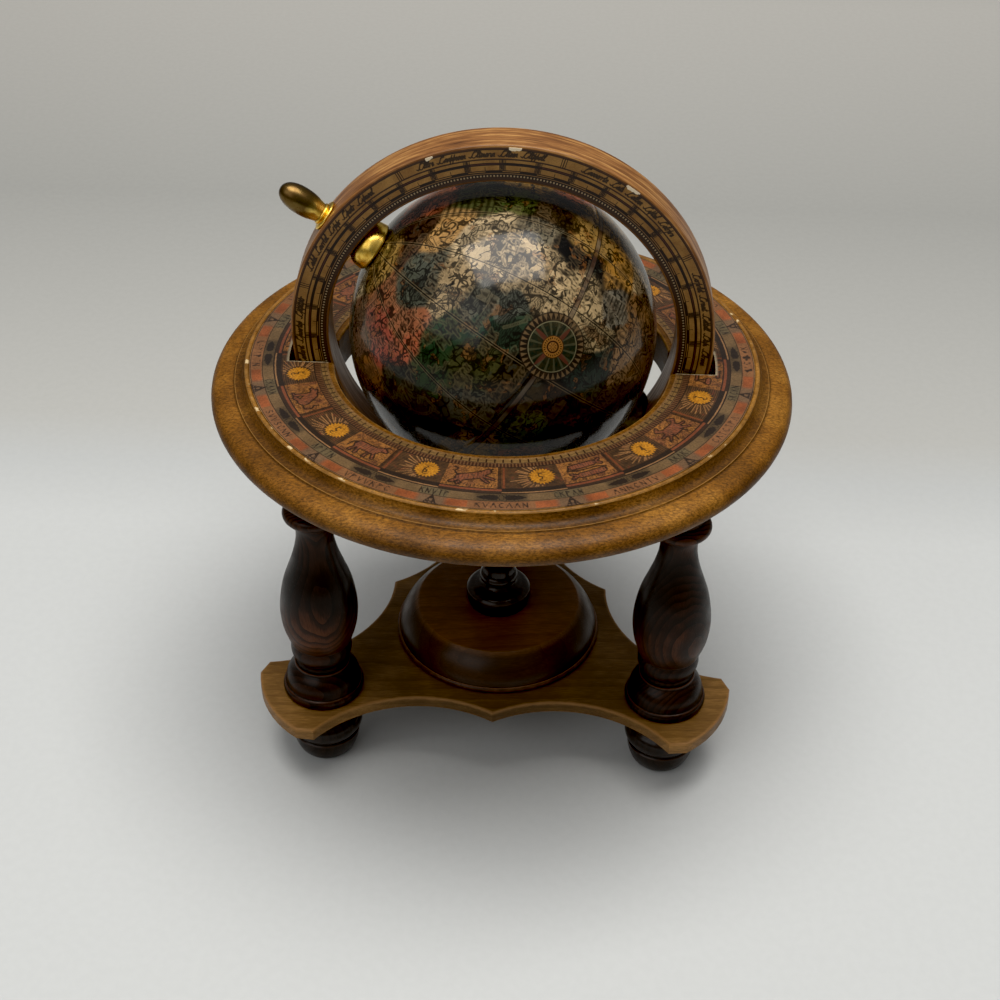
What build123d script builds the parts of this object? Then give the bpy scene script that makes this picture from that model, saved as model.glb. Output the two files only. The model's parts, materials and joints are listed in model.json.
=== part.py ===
from build123d import *

import os
from math import cos, radians, sin

# Desktop globe on a turned wooden stand, in millimetres.
# Origin: middle of the footprint, on the surface that the feet stand on.
# +Z is up, +X is to the right and +Y is to the back.
# The front is the side of leg_front_left and leg_front_right.

# ---- Horizon ring: the wide wooden ring around the globe ----
HORIZON_R = 87.5  # outer radius
HORIZON_BORE_R = 50.4  # hole that the globe sits in
HORIZON_BOTTOM = 122.0
HORIZON_THICK = 12.1  # underside to the flat top
BULLNOSE_HALF = 4.0  # half the height of the rounded outer edge
BULLNOSE_IN_R = 80.5  # where the rounded edge starts
BEAD_R = 76.45  # middle of the small bead that frames the print
BEAD_HALF = 0.65
COVE_R = 3.0  # hollow between the bead and the rounded edge
INNER_EDGE = 0.8  # easing of the bore's edges
NOTCH_DEPTH_R = 63.9  # how far out the two notches for the meridian ring reach
NOTCH_GAP = 0.5  # clearance on each side of the meridian ring
PAPER = 0.2  # thickness of the printed rings
PRINT_IN_R = 52.2
PRINT_OUT_R = 75.7

# ---- Meridian ring: the upright plywood ring ----
MERIDIAN_R = 62.5
MERIDIAN_IN_R = 51.35
MERIDIAN_WOOD = 11.3  # thickness without its two prints
MERIDIAN_Z = 143.9  # height of its centre, which is the globe's centre too
MERIDIAN_EASE = 0.4
MERIDIAN_PRINT_MARGIN = 0.25

# ---- Globe and its axle ----
GLOBE_R = 45.6
MAP_SKIN = 0.3
SHELL = 1.5
POLE_ANGLE = 145.0  # north pole's direction in the XZ plane, from +X towards +Z
ROD_R = 1.5
ROD_FIT = 0.05  # radial clearance where the rod sits or runs in a hole
POLE_BUSH_R = 3.0
BUSH_FLANGE_R = 5.0
BUSH_FLANGE = 1.0
BELL_R = 7.3
BELL_TOP_R = 5.7
BELL_RIM = 45.6  # distance of the bell's open end from the globe's centre
BELL_TOP = 50.9
BELL_WALL = 1.0
WASHER_R = 4.6
WASHER = 1.1
FINIAL_NECK_R = 2.9
FINIAL_BELLY_R = 3.95
FINIAL_TIP = 77.8  # distance of its tip from the globe's centre
FINIAL_THREAD = 6.0  # length of rod inside the finial
NUT_R = 3.9
NUT = 2.5
NUT_SINK = 1.4  # how far the nut lies under the rim
SEAM_BAND = 10.0
SEAM_WALL = 1.0

# ---- Base ----
FOOT_H = 22.2  # floor to the underside of the plate
PLATE = 4.3
PLINTH = 12.1
PLINTH_R = 33.7  # largest radius, near its underside
PLINTH_TOP_R = 26.7
LEG_CIRCLE_R = 63.6
LEG_ANGLES = {"front_left": -150.0, "front_right": -30.0, "back": 90.0}
ARM_CORNER_R = 77.3
ARM_CORNER_DEG = 13.56
ARM_END_R = 81.1
ARM_END_DEG = 10.55
ARM_TIP_R = 83.0
CUSP_R = 42.3
EDGE_ARC_R = 42.7  # radius of the concave edges of the plate
PLATE_EASE = 0.5
TENON_R = 4.0
TENON_FIT = 0.05
TENON_END_GAP = 0.5
FOOT_TENON = 8.0  # length inside the leg
LEG_TENON = 6.0  # length inside the horizon ring

# ---- Centre post ----
POST_HEAD_R = 11.0
POST_TOP = 89.0
POST_TENON_R = 5.0
POST_TENON = 8.0
CRADLE_GAP = 0.3  # clearance beside the meridian ring
CRADLE_SEAT_GAP = 0.1  # clearance under it
SCREW_R = 1.95
SCREW_HEAD_R = 4.0
SCREW_HEAD = 2.4
SCREW_SINK = 0.3
SCREW_TIP = 54.0

PLATE_TOP = FOOT_H + PLATE
PLINTH_TOP = PLATE_TOP + PLINTH
HORIZON_TOP = HORIZON_BOTTOM + HORIZON_THICK
LEG_H = HORIZON_BOTTOM - PLATE_TOP
MERIDIAN_HALF = MERIDIAN_WOOD / 2 + PAPER
SHELL_OUT_R = GLOBE_R - MAP_SKIN
SHELL_IN_R = SHELL_OUT_R - SHELL

# The meridian ring's own frame: Z is the ring's axis, towards the back.
RING_PLANE = Plane(origin=(0, 0, MERIDIAN_Z), x_dir=(1, 0, 0), z_dir=(0, 1, 0))
# The axle's own frame: Z runs from the globe's centre to its north pole.
POLE = (cos(radians(POLE_ANGLE)), 0, sin(radians(POLE_ANGLE)))
AXLE_PLANE = Plane(origin=(0, 0, MERIDIAN_Z), x_dir=(0, 1, 0), z_dir=POLE)
SOUTH_TURN = Rot(180, 0, 0)


def turned(*chain):
    """Solid turned about Z from a chain of 2-D edges that starts on the axis: x radius, y height."""
    start = chain[0] @ 0
    end = chain[-1] @ 1
    closing = [(end.X, end.Y), (0, end.Y), (0, start.Y)]
    if end.X < 1e-6:
        closing.pop(0)
    return revolve(Plane.XZ * make_face([*chain, Polyline(*closing)]), Axis.Z)


def turned_ring(*loop):
    """Ring turned about Z from a closed loop of 2-D edges, x the radius and y the height."""
    return revolve(Plane.XZ * make_face(loop), Axis.Z)


def pipe(outer_r, inner_r, low, high):
    """Plain ring between two radii and two heights."""
    height = high - low
    middle = Pos(0, 0, (low + high) / 2)
    return middle * (Cylinder(outer_r, height) - Cylinder(inner_r, height))


def rod(radius, low, high):
    """Plain cylinder about Z between two heights."""
    return Pos(0, 0, (low + high) / 2) * Cylinder(radius, high - low)


def polar(radius, degrees):
    """Point of the XY plane at a radius and an angle from +X."""
    return (radius * cos(radians(degrees)), radius * sin(radians(degrees)))


def at_leg(name, solid):
    """The solid moved from the Z axis to the place of one leg."""
    x, y = polar(LEG_CIRCLE_R, LEG_ANGLES[name])
    return Pos(x, y, 0) * solid


# ---------------------------------------------------------------- base


def make_base_plate():
    edges = []
    for degrees in sorted(LEG_ANGLES.values()):
        before = polar(ARM_CORNER_R, degrees - ARM_CORNER_DEG)
        end_before = polar(ARM_END_R, degrees - ARM_END_DEG)
        end_after = polar(ARM_END_R, degrees + ARM_END_DEG)
        after = polar(ARM_CORNER_R, degrees + ARM_CORNER_DEG)
        cusp = polar(CUSP_R, degrees + 60)
        next_arm = polar(ARM_CORNER_R, degrees + 120 - ARM_CORNER_DEG)
        edges.append(Line(before, end_before))
        edges.append(ThreePointArc(end_before, polar(ARM_TIP_R, degrees), end_after))
        edges.append(Line(end_after, after))
        edges.append(RadiusArc(after, cusp, EDGE_ARC_R))
        edges.append(RadiusArc(cusp, next_arm, EDGE_ARC_R))
    plate = Pos(0, 0, FOOT_H) * extrude(make_face(edges), PLATE)
    plate = chamfer(plate.faces().sort_by(Axis.Z)[-1].outer_wire().edges(), PLATE_EASE)
    for name in LEG_ANGLES:
        plate -= at_leg(name, rod(TENON_R + TENON_FIT, FOOT_H, PLATE_TOP))
    plate -= rod(SCREW_R + TENON_FIT, FOOT_H, PLATE_TOP)
    plate -= Pos(0, 0, FOOT_H) * screw_head(TENON_FIT)
    return plate


def make_plinth():
    side = 2.2  # upright part of its side
    quirk = 0.7
    ogee_r = PLINTH_R - quirk
    plinth = turned(
        Line((0.0, PLATE_TOP), (PLINTH_R - quirk, PLATE_TOP)),
        ThreePointArc(
            (PLINTH_R - quirk, PLATE_TOP),
            (PLINTH_R, PLATE_TOP + side / 2),
            (PLINTH_R - quirk, PLATE_TOP + side),
        ),
        Spline(
            (ogee_r, PLATE_TOP + side),
            (ogee_r - 1.1, PLATE_TOP + 0.52 * PLINTH),
            (PLINTH_TOP_R, PLINTH_TOP),
            tangents=((-0.05, 1), (-1, 0.9)),
        ),
    )
    plinth -= rod(POST_TENON_R + TENON_FIT, PLINTH_TOP - POST_TENON - TENON_END_GAP, PLINTH_TOP)
    return plinth - rod(SCREW_R + TENON_FIT, PLATE_TOP, PLINTH_TOP)


def make_foot():
    foot = turned(
        Line((0.0, 0.0), (7.0, 0.0)),
        Spline((7.0, 0.0), (8.6, 1.2), (10.2, 4.6), (10.9, 8.4), tangents=((1, 0.15), (0.05, 1))),
        Polyline((10.9, 8.4), (10.3, 8.9), (10.3, 9.4)),
        ThreePointArc((10.3, 9.4), (12.0, 12.8), (10.4, 16.4)),
        Spline((10.4, 16.4), (8.6, 18.2), (8.4, FOOT_H), tangents=((-1, 0.1), (0, 1))),
    )
    return foot + rod(TENON_R, FOOT_H, PLATE_TOP + FOOT_TENON)


def make_leg():
    """Baluster: base disc, bell, neck, bead, vase belly, collar and capital."""
    h = PLATE_TOP
    base_disc = ThreePointArc((12.4, h), (12.9, h + 1.7), (12.4, h + 3.4))
    bell = Spline(
        (11.9, h + 3.8),
        (11.5, h + 6.6),
        (9.7, h + 9.8),
        (8.9, h + 10.9),
        tangents=((-0.02, 1), (-0.5, 1)),
    )
    bead = ThreePointArc((7.9, h + 13.4), (9.6, h + 16.8), (9.1, h + 20.2))
    belly = Spline(
        (9.6, h + 20.6),
        (11.4, h + 26.6),
        (12.15, h + 33.5),
        (10.5, h + 45.0),
        (7.6, h + 53.4),
        (5.7, h + 62.0),
        (6.6, h + 68.0),
        tangents=((0.45, 1), (0.4, 1)),
    )
    collar = ThreePointArc((8.6, h + 69.4), (9.4, h + 71.0), (8.6, h + 72.6))
    capital = Spline(
        (6.8, h + 73.2),
        (6.3, h + 77.4),
        (7.9, h + 83.4),
        (10.3, h + 87.6),
        tangents=((-0.2, 1), (1, 0.7)),
    )
    leg = turned(
        Line((0, h), (12.4, h)),
        base_disc,
        Line((12.4, h + 3.4), (11.9, h + 3.8)),
        bell,
        Polyline((8.9, h + 10.9), (8.9, h + 11.7), (7.9, h + 12.1), (7.9, h + 13.4)),
        bead,
        Line((9.1, h + 20.2), (9.6, h + 20.6)),
        belly,
        Line((6.6, h + 68.0), (8.6, h + 69.4)),
        collar,
        Line((8.6, h + 72.6), (6.8, h + 73.2)),
        capital,
        Polyline((10.3, h + 87.6), (10.3, h + 88.8), (11.2, h + 89.4)),
        ThreePointArc((11.2, h + 89.4), (11.9, h + 92.4), (11.2, h + LEG_H)),
    )
    leg += rod(TENON_R, HORIZON_BOTTOM, HORIZON_BOTTOM + LEG_TENON)
    return leg - rod(TENON_R + TENON_FIT, h, h + FOOT_TENON + TENON_END_GAP)


def screw_head(grow):
    """Countersunk head, measured up from the plate's underside, grown by a clearance."""
    cone = Cone(SCREW_HEAD_R + grow, SCREW_R + grow, SCREW_HEAD)
    return Pos(0, 0, SCREW_SINK + SCREW_HEAD / 2) * cone + rod(SCREW_HEAD_R + grow, 0, SCREW_SINK)


def make_post_screw():
    head = Pos(0, 0, FOOT_H) * screw_head(0)
    head -= rod(SCREW_HEAD_R + 1, FOOT_H, FOOT_H + SCREW_SINK)
    driver_slot = Pos(0, 0, FOOT_H + SCREW_SINK) * Box(2 * SCREW_HEAD_R, 1.0, 1.6)
    point_start = SCREW_TIP - 5
    shank = turned(
        Polyline(
            (0, FOOT_H + SCREW_SINK + SCREW_HEAD / 2),
            (SCREW_R, FOOT_H + SCREW_SINK + SCREW_HEAD / 2),
            (SCREW_R, point_start),
            (0.4, SCREW_TIP),
        )
    )
    return head + shank - driver_slot


def make_centre_post():
    """Collar, bead, small vase and a slotted head that the meridian ring stands in."""
    h = PLINTH_TOP
    post = turned(
        Line((0, h), (9.7, h)),
        ThreePointArc((9.7, h), (10.7, h + 3.4), (10.5, h + 5.6)),
        Spline((10.5, h + 5.6), (9.6, h + 6.5), (5.7, h + 9.0), tangents=((-0.4, 1), (-0.5, 1))),
        ThreePointArc((5.7, h + 9.0), (6.3, h + 10.6), (5.7, h + 12.2)),
        Line((5.7, h + 12.2), (5.2, h + 12.6)),
        Spline(
            (5.2, h + 12.6),
            (4.8, h + 15.0),
            (8.6, h + 25.0),
            (5.2, h + 34.0),
            (7.8, h + 37.6),
            tangents=((0, 1), (1, 0.6)),
        ),
        Line((7.8, h + 37.6), (POST_HEAD_R, h + 38.4)),
        Line((POST_HEAD_R, h + 38.4), (POST_HEAD_R, POST_TOP - 1.5)),
        ThreePointArc(
            (POST_HEAD_R, POST_TOP - 1.5),
            (POST_HEAD_R - 0.45, POST_TOP - 0.45),
            (POST_HEAD_R - 1.5, POST_TOP),
        ),
    )
    post += rod(POST_TENON_R, PLINTH_TOP - POST_TENON, PLINTH_TOP)
    slot = Cylinder(MERIDIAN_R + CRADLE_SEAT_GAP, 2 * (MERIDIAN_HALF + CRADLE_GAP))
    post -= RING_PLANE * slot
    return post - rod(SCREW_R + TENON_FIT, PLINTH_TOP - POST_TENON, SCREW_TIP + 1)


# ---------------------------------------------------------------- horizon


def notches(low, high):
    """The two gaps in the horizon ring, at +X and -X, that the meridian ring stands in."""
    length = NOTCH_DEPTH_R - HORIZON_BORE_R + 10
    middle = NOTCH_DEPTH_R - length / 2
    width = 2 * (MERIDIAN_HALF + NOTCH_GAP)
    gap = Pos(middle, 0, (low + high) / 2) * Box(length, width, high - low)
    return gap + Rot(0, 0, 180) * gap


def make_horizon_ring():
    low = HORIZON_BOTTOM
    top = HORIZON_TOP
    nose_z = low + BULLNOSE_HALF
    nose_top = nose_z + BULLNOSE_HALF + 0.2
    bead_out = BEAD_R + BEAD_HALF
    cove_top = nose_top + COVE_R - 0.5
    cove_turn = COVE_R * (1 - cos(radians(45)))
    ring = turned_ring(
        Polyline(
            (BULLNOSE_IN_R + 3.2, low),
            (HORIZON_BORE_R + INNER_EDGE, low),
            (HORIZON_BORE_R, low + INNER_EDGE),
            (HORIZON_BORE_R, top - INNER_EDGE),
        ),
        ThreePointArc(
            (HORIZON_BORE_R, top - INNER_EDGE),
            (HORIZON_BORE_R + 0.3 * INNER_EDGE, top - 0.3 * INNER_EDGE),
            (HORIZON_BORE_R + INNER_EDGE, top),
        ),
        Line((HORIZON_BORE_R + INNER_EDGE, top), (BEAD_R - BEAD_HALF, top)),
        ThreePointArc((BEAD_R - BEAD_HALF, top), (BEAD_R, top + 0.45), (bead_out, top - 0.1)),
        Line((bead_out, top - 0.1), (bead_out, cove_top)),
        ThreePointArc(
            (bead_out, cove_top),
            (bead_out + cove_turn, cove_top - COVE_R + cove_turn),
            (bead_out + COVE_R, cove_top - COVE_R),
        ),
        Polyline(
            (bead_out + COVE_R, cove_top - COVE_R),
            (BULLNOSE_IN_R, cove_top - COVE_R),
            (BULLNOSE_IN_R, nose_top),
        ),
        ThreePointArc(
            (BULLNOSE_IN_R, nose_top),
            (HORIZON_R - 1.7, nose_z + 2.9),
            (HORIZON_R, nose_z),
        ),
        ThreePointArc(
            (HORIZON_R, nose_z),
            (HORIZON_R - 1.2, nose_z - 2.8),
            (BULLNOSE_IN_R + 3.2, low),
        ),
    )
    ring -= notches(low - 1, top + 1)
    for name in LEG_ANGLES:
        bore_top = low + LEG_TENON + TENON_END_GAP
        ring -= at_leg(name, rod(TENON_R + TENON_FIT, low, bore_top))
    return ring


def make_horizon_print():
    sheet = pipe(PRINT_OUT_R, PRINT_IN_R, HORIZON_TOP, HORIZON_TOP + PAPER)
    return sheet - notches(HORIZON_TOP - 1, HORIZON_TOP + 1)


# ---------------------------------------------------------------- meridian


def make_meridian_ring():
    half = MERIDIAN_WOOD / 2
    ring = pipe(MERIDIAN_R, MERIDIAN_IN_R, -half, half)
    ring = chamfer(ring.edges().filter_by(GeomType.CIRCLE), MERIDIAN_EASE)
    ring = RING_PLANE * ring
    ring -= AXLE_PLANE * rod(ROD_R + ROD_FIT, -MERIDIAN_R - 1, MERIDIAN_R + 1)
    nut_seat = MERIDIAN_R - NUT_SINK - NUT
    return ring - AXLE_PLANE * rod(NUT_R + ROD_FIT, -MERIDIAN_R - 1, -nut_seat)


def make_meridian_print(side):
    """One of the two printed rings, side -1 for the front and 1 for the back."""
    near = side * MERIDIAN_WOOD / 2
    far = side * MERIDIAN_HALF
    sheet = pipe(
        MERIDIAN_R - MERIDIAN_EASE - MERIDIAN_PRINT_MARGIN,
        MERIDIAN_IN_R + MERIDIAN_EASE + MERIDIAN_PRINT_MARGIN,
        min(near, far),
        max(near, far),
    )
    return RING_PLANE * sheet


def make_axle_rod():
    low = -(MERIDIAN_R - NUT_SINK - 0.4)
    high = MERIDIAN_R + WASHER + FINIAL_THREAD
    return AXLE_PLANE * rod(ROD_R, low, high)


def make_finial_washer():
    low = MERIDIAN_R
    washer = turned_ring(
        Line((ROD_R + ROD_FIT, low), (WASHER_R, low)),
        ThreePointArc((WASHER_R, low), (WASHER_R - 0.1, low + 0.7), (WASHER_R - 0.9, low + WASHER)),
        Polyline(
            (WASHER_R - 0.9, low + WASHER),
            (ROD_R + ROD_FIT, low + WASHER),
            (ROD_R + ROD_FIT, low),
        ),
    )
    return AXLE_PLANE * washer


def make_finial():
    low = MERIDIAN_R + WASHER
    knob = turned(
        Line((0, low), (FINIAL_NECK_R, low)),
        Spline(
            (FINIAL_NECK_R, low),
            (0.9 * FINIAL_BELLY_R, low + 3.2),
            (FINIAL_BELLY_R, low + 7.4),
            (0.74 * FINIAL_BELLY_R, FINIAL_TIP - 1.5),
            (0, FINIAL_TIP),
            tangents=((0.05, 1), (-1, 0)),
        ),
    )
    knob -= rod(ROD_R + ROD_FIT, low, low + FINIAL_THREAD + 0.3)
    return AXLE_PLANE * knob


def make_bell():
    """Brass bell on the rod, open towards the globe."""
    inner_r = BELL_R - BELL_WALL
    ceiling = BELL_TOP - 1.6
    bore_r = ROD_R + ROD_FIT
    return turned_ring(
        Line((inner_r, BELL_RIM), (BELL_R, BELL_RIM)),
        Spline(
            (BELL_R, BELL_RIM),
            (BELL_R - 0.25, BELL_RIM + 2.4),
            (BELL_TOP_R, BELL_TOP),
            tangents=((0.02, 1), (-1, 0.35)),
        ),
        Line((BELL_TOP_R, BELL_TOP), (bore_r, BELL_TOP)),
        Line((bore_r, BELL_TOP), (bore_r, ceiling)),
        ThreePointArc((bore_r, ceiling), (inner_r - 1.2, BELL_RIM + 2.7), (inner_r, BELL_RIM)),
    )


def make_lower_nut():
    seat = MERIDIAN_R - NUT_SINK - NUT
    nut = pipe(NUT_R, ROD_R + ROD_FIT, -seat - NUT, -seat)
    driver_slot = Pos(0, 0, -seat - NUT) * Box(2 * NUT_R, 1.0, 1.2)
    return AXLE_PLANE * (nut - driver_slot)


# ---------------------------------------------------------------- globe


def half_shell(outer_r, inner_r, hole_r):
    """Northern half of a hollow ball about the axle, with a round hole at the pole."""
    ball = Sphere(outer_r) - Sphere(inner_r)
    north = ball & Pos(0, 0, outer_r) * Box(2 * outer_r, 2 * outer_r, 2 * outer_r)
    return north - rod(hole_r, 0, outer_r + 1)


def make_seam_band():
    half = SEAM_BAND / 2
    outer_r = (SHELL_IN_R**2 - half**2) ** 0.5
    return AXLE_PLANE * pipe(outer_r, outer_r - SEAM_WALL, -half, half)


def make_pole_bush():
    """Flanged sleeve in the pole of a shell, running on the rod."""
    bore_r = ROD_R + ROD_FIT
    flange_top = (SHELL_IN_R**2 - BUSH_FLANGE_R**2) ** 0.5
    flange = pipe(BUSH_FLANGE_R, bore_r, flange_top - BUSH_FLANGE, flange_top)
    return flange + pipe(POLE_BUSH_R, bore_r, flange_top - BUSH_FLANGE, GLOBE_R)


# ---------------------------------------------------------------- all pieces


def make_all():
    leg = make_leg()
    foot = make_foot()
    bell = make_bell()
    shell = half_shell(SHELL_OUT_R, SHELL_IN_R, POLE_BUSH_R)
    skin = half_shell(GLOBE_R, SHELL_OUT_R, POLE_BUSH_R)
    pole_bush = make_pole_bush()
    pieces = {
        "base_plate": make_base_plate(),
        "plinth": make_plinth(),
        "centre_post": make_centre_post(),
        "post_screw": make_post_screw(),
        "horizon_ring": make_horizon_ring(),
        "horizon_print": make_horizon_print(),
        "meridian_ring": make_meridian_ring(),
        "meridian_print_front": make_meridian_print(-1),
        "meridian_print_back": make_meridian_print(1),
        "axle_rod": make_axle_rod(),
        "finial": make_finial(),
        "finial_washer": make_finial_washer(),
        "upper_bell": AXLE_PLANE * bell,
        "lower_bell": AXLE_PLANE * SOUTH_TURN * bell,
        "lower_nut": make_lower_nut(),
        "globe_shell_north": AXLE_PLANE * shell,
        "globe_shell_south": AXLE_PLANE * SOUTH_TURN * shell,
        "map_skin_north": AXLE_PLANE * skin,
        "map_skin_south": AXLE_PLANE * SOUTH_TURN * skin,
        "seam_band": make_seam_band(),
        "pole_bush_north": AXLE_PLANE * pole_bush,
        "pole_bush_south": AXLE_PLANE * SOUTH_TURN * pole_bush,
    }
    for name in LEG_ANGLES:
        pieces["leg_" + name] = at_leg(name, leg)
        pieces["foot_" + name] = at_leg(name, foot)
    return pieces


os.makedirs("parts", exist_ok=True)
for node, solid in make_all().items():
    export_step(solid, os.path.join("parts", node + ".step"))
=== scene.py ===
"""Looks of the desktop globe on its turned stand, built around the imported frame."""

import json
import math

import bmesh
import bpy
import numpy as np
from mathutils import Matrix, Vector


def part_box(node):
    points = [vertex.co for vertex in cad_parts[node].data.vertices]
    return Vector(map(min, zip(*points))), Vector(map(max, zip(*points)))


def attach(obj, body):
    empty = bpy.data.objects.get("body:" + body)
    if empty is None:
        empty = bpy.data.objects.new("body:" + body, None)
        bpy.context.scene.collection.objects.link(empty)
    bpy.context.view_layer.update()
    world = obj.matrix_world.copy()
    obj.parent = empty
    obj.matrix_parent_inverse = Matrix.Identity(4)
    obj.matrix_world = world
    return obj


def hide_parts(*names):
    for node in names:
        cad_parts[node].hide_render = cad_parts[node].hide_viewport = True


MM = 0.001  # lengths below are millimetres unless a name says otherwise
FAR = 4.0  # distance kept for points that no drawn mark is near

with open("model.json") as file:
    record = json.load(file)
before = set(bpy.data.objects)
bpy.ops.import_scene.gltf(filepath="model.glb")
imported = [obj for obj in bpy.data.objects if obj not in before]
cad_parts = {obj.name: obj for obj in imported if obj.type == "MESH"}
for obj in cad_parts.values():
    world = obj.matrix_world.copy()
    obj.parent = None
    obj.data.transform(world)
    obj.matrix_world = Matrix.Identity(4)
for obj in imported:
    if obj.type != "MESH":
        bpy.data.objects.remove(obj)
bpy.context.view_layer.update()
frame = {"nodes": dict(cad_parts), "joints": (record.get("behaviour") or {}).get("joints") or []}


def span(node):
    """A CAD node's lowest and highest corners in millimetres."""
    low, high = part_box(node)
    return np.array(low) / MM, np.array(high) / MM


def centre_of(node):
    low, high = span(node)
    return (low + high) / 2


HORIZON_LOW, HORIZON_HIGH = span("horizon_ring")
MERIDIAN_HIGH = span("meridian_ring")[1]
PAPER_LOW, PAPER_HIGH = span("horizon_print")
SHEET_LOW, SHEET_HIGH = span("meridian_print_front")
HORIZON_R = HORIZON_HIGH[0]
HORIZON_BOTTOM = HORIZON_LOW[2]
HORIZON_TOP = PAPER_LOW[2]
PAPER = PAPER_HIGH[2] - PAPER_LOW[2]
MERIDIAN_R = MERIDIAN_HIGH[0]
MERIDIAN_HALF = MERIDIAN_HIGH[1]
CENTRE = centre_of("meridian_ring")
GLOBE_R = span("map_skin_north")[1][1]
POLE = np.array([j["axis"] for j in frame["joints"] if j["name"] == "globe_spin"][0], float)
AXLE_X = np.array([0.0, 1.0, 0.0])
AXLE_Y = np.cross(POLE, AXLE_X)
LEGS = ("front_left", "front_right", "back")
LEG_SPOTS = [centre_of("leg_" + leg) for leg in LEGS]

AXLE_PLACE = Matrix.Identity(4)
for column, direction in enumerate((AXLE_X, AXLE_Y, POLE, CENTRE)):
    for row in range(3):
        AXLE_PLACE[row][column] = direction[row]
RING_PLACE = Matrix.Translation(CENTRE) @ Matrix.Rotation(math.radians(-90), 4, "X")


def rgb(red, green, blue):
    """Scene colour from display values of 0 to 255."""
    shares = [value / 255 for value in (red, green, blue)]
    linear = [s / 12.92 if s <= 0.04045 else ((s + 0.055) / 1.055) ** 2.4 for s in shares]
    return (*linear, 1.0)


# ---------------------------------------------------------------- material nodes


def operator(operation, swapped=False):
    """Method of Value that adds a Math node."""

    def method(self, *other):
        return self.shader.math(operation, *((*other, self) if swapped else (self, *other)))

    return method


class Value:
    """A number, vector or colour in a material's node tree; arithmetic on it adds Math nodes."""

    def __init__(self, shader, socket):
        self.shader = shader
        self.socket = socket

    __add__ = __radd__ = operator("ADD")
    __sub__ = operator("SUBTRACT")
    __rsub__ = operator("SUBTRACT", swapped=True)
    __mul__ = __rmul__ = operator("MULTIPLY")
    __truediv__ = operator("DIVIDE")
    __pow__ = operator("POWER")
    __abs__ = operator("ABSOLUTE")


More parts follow.
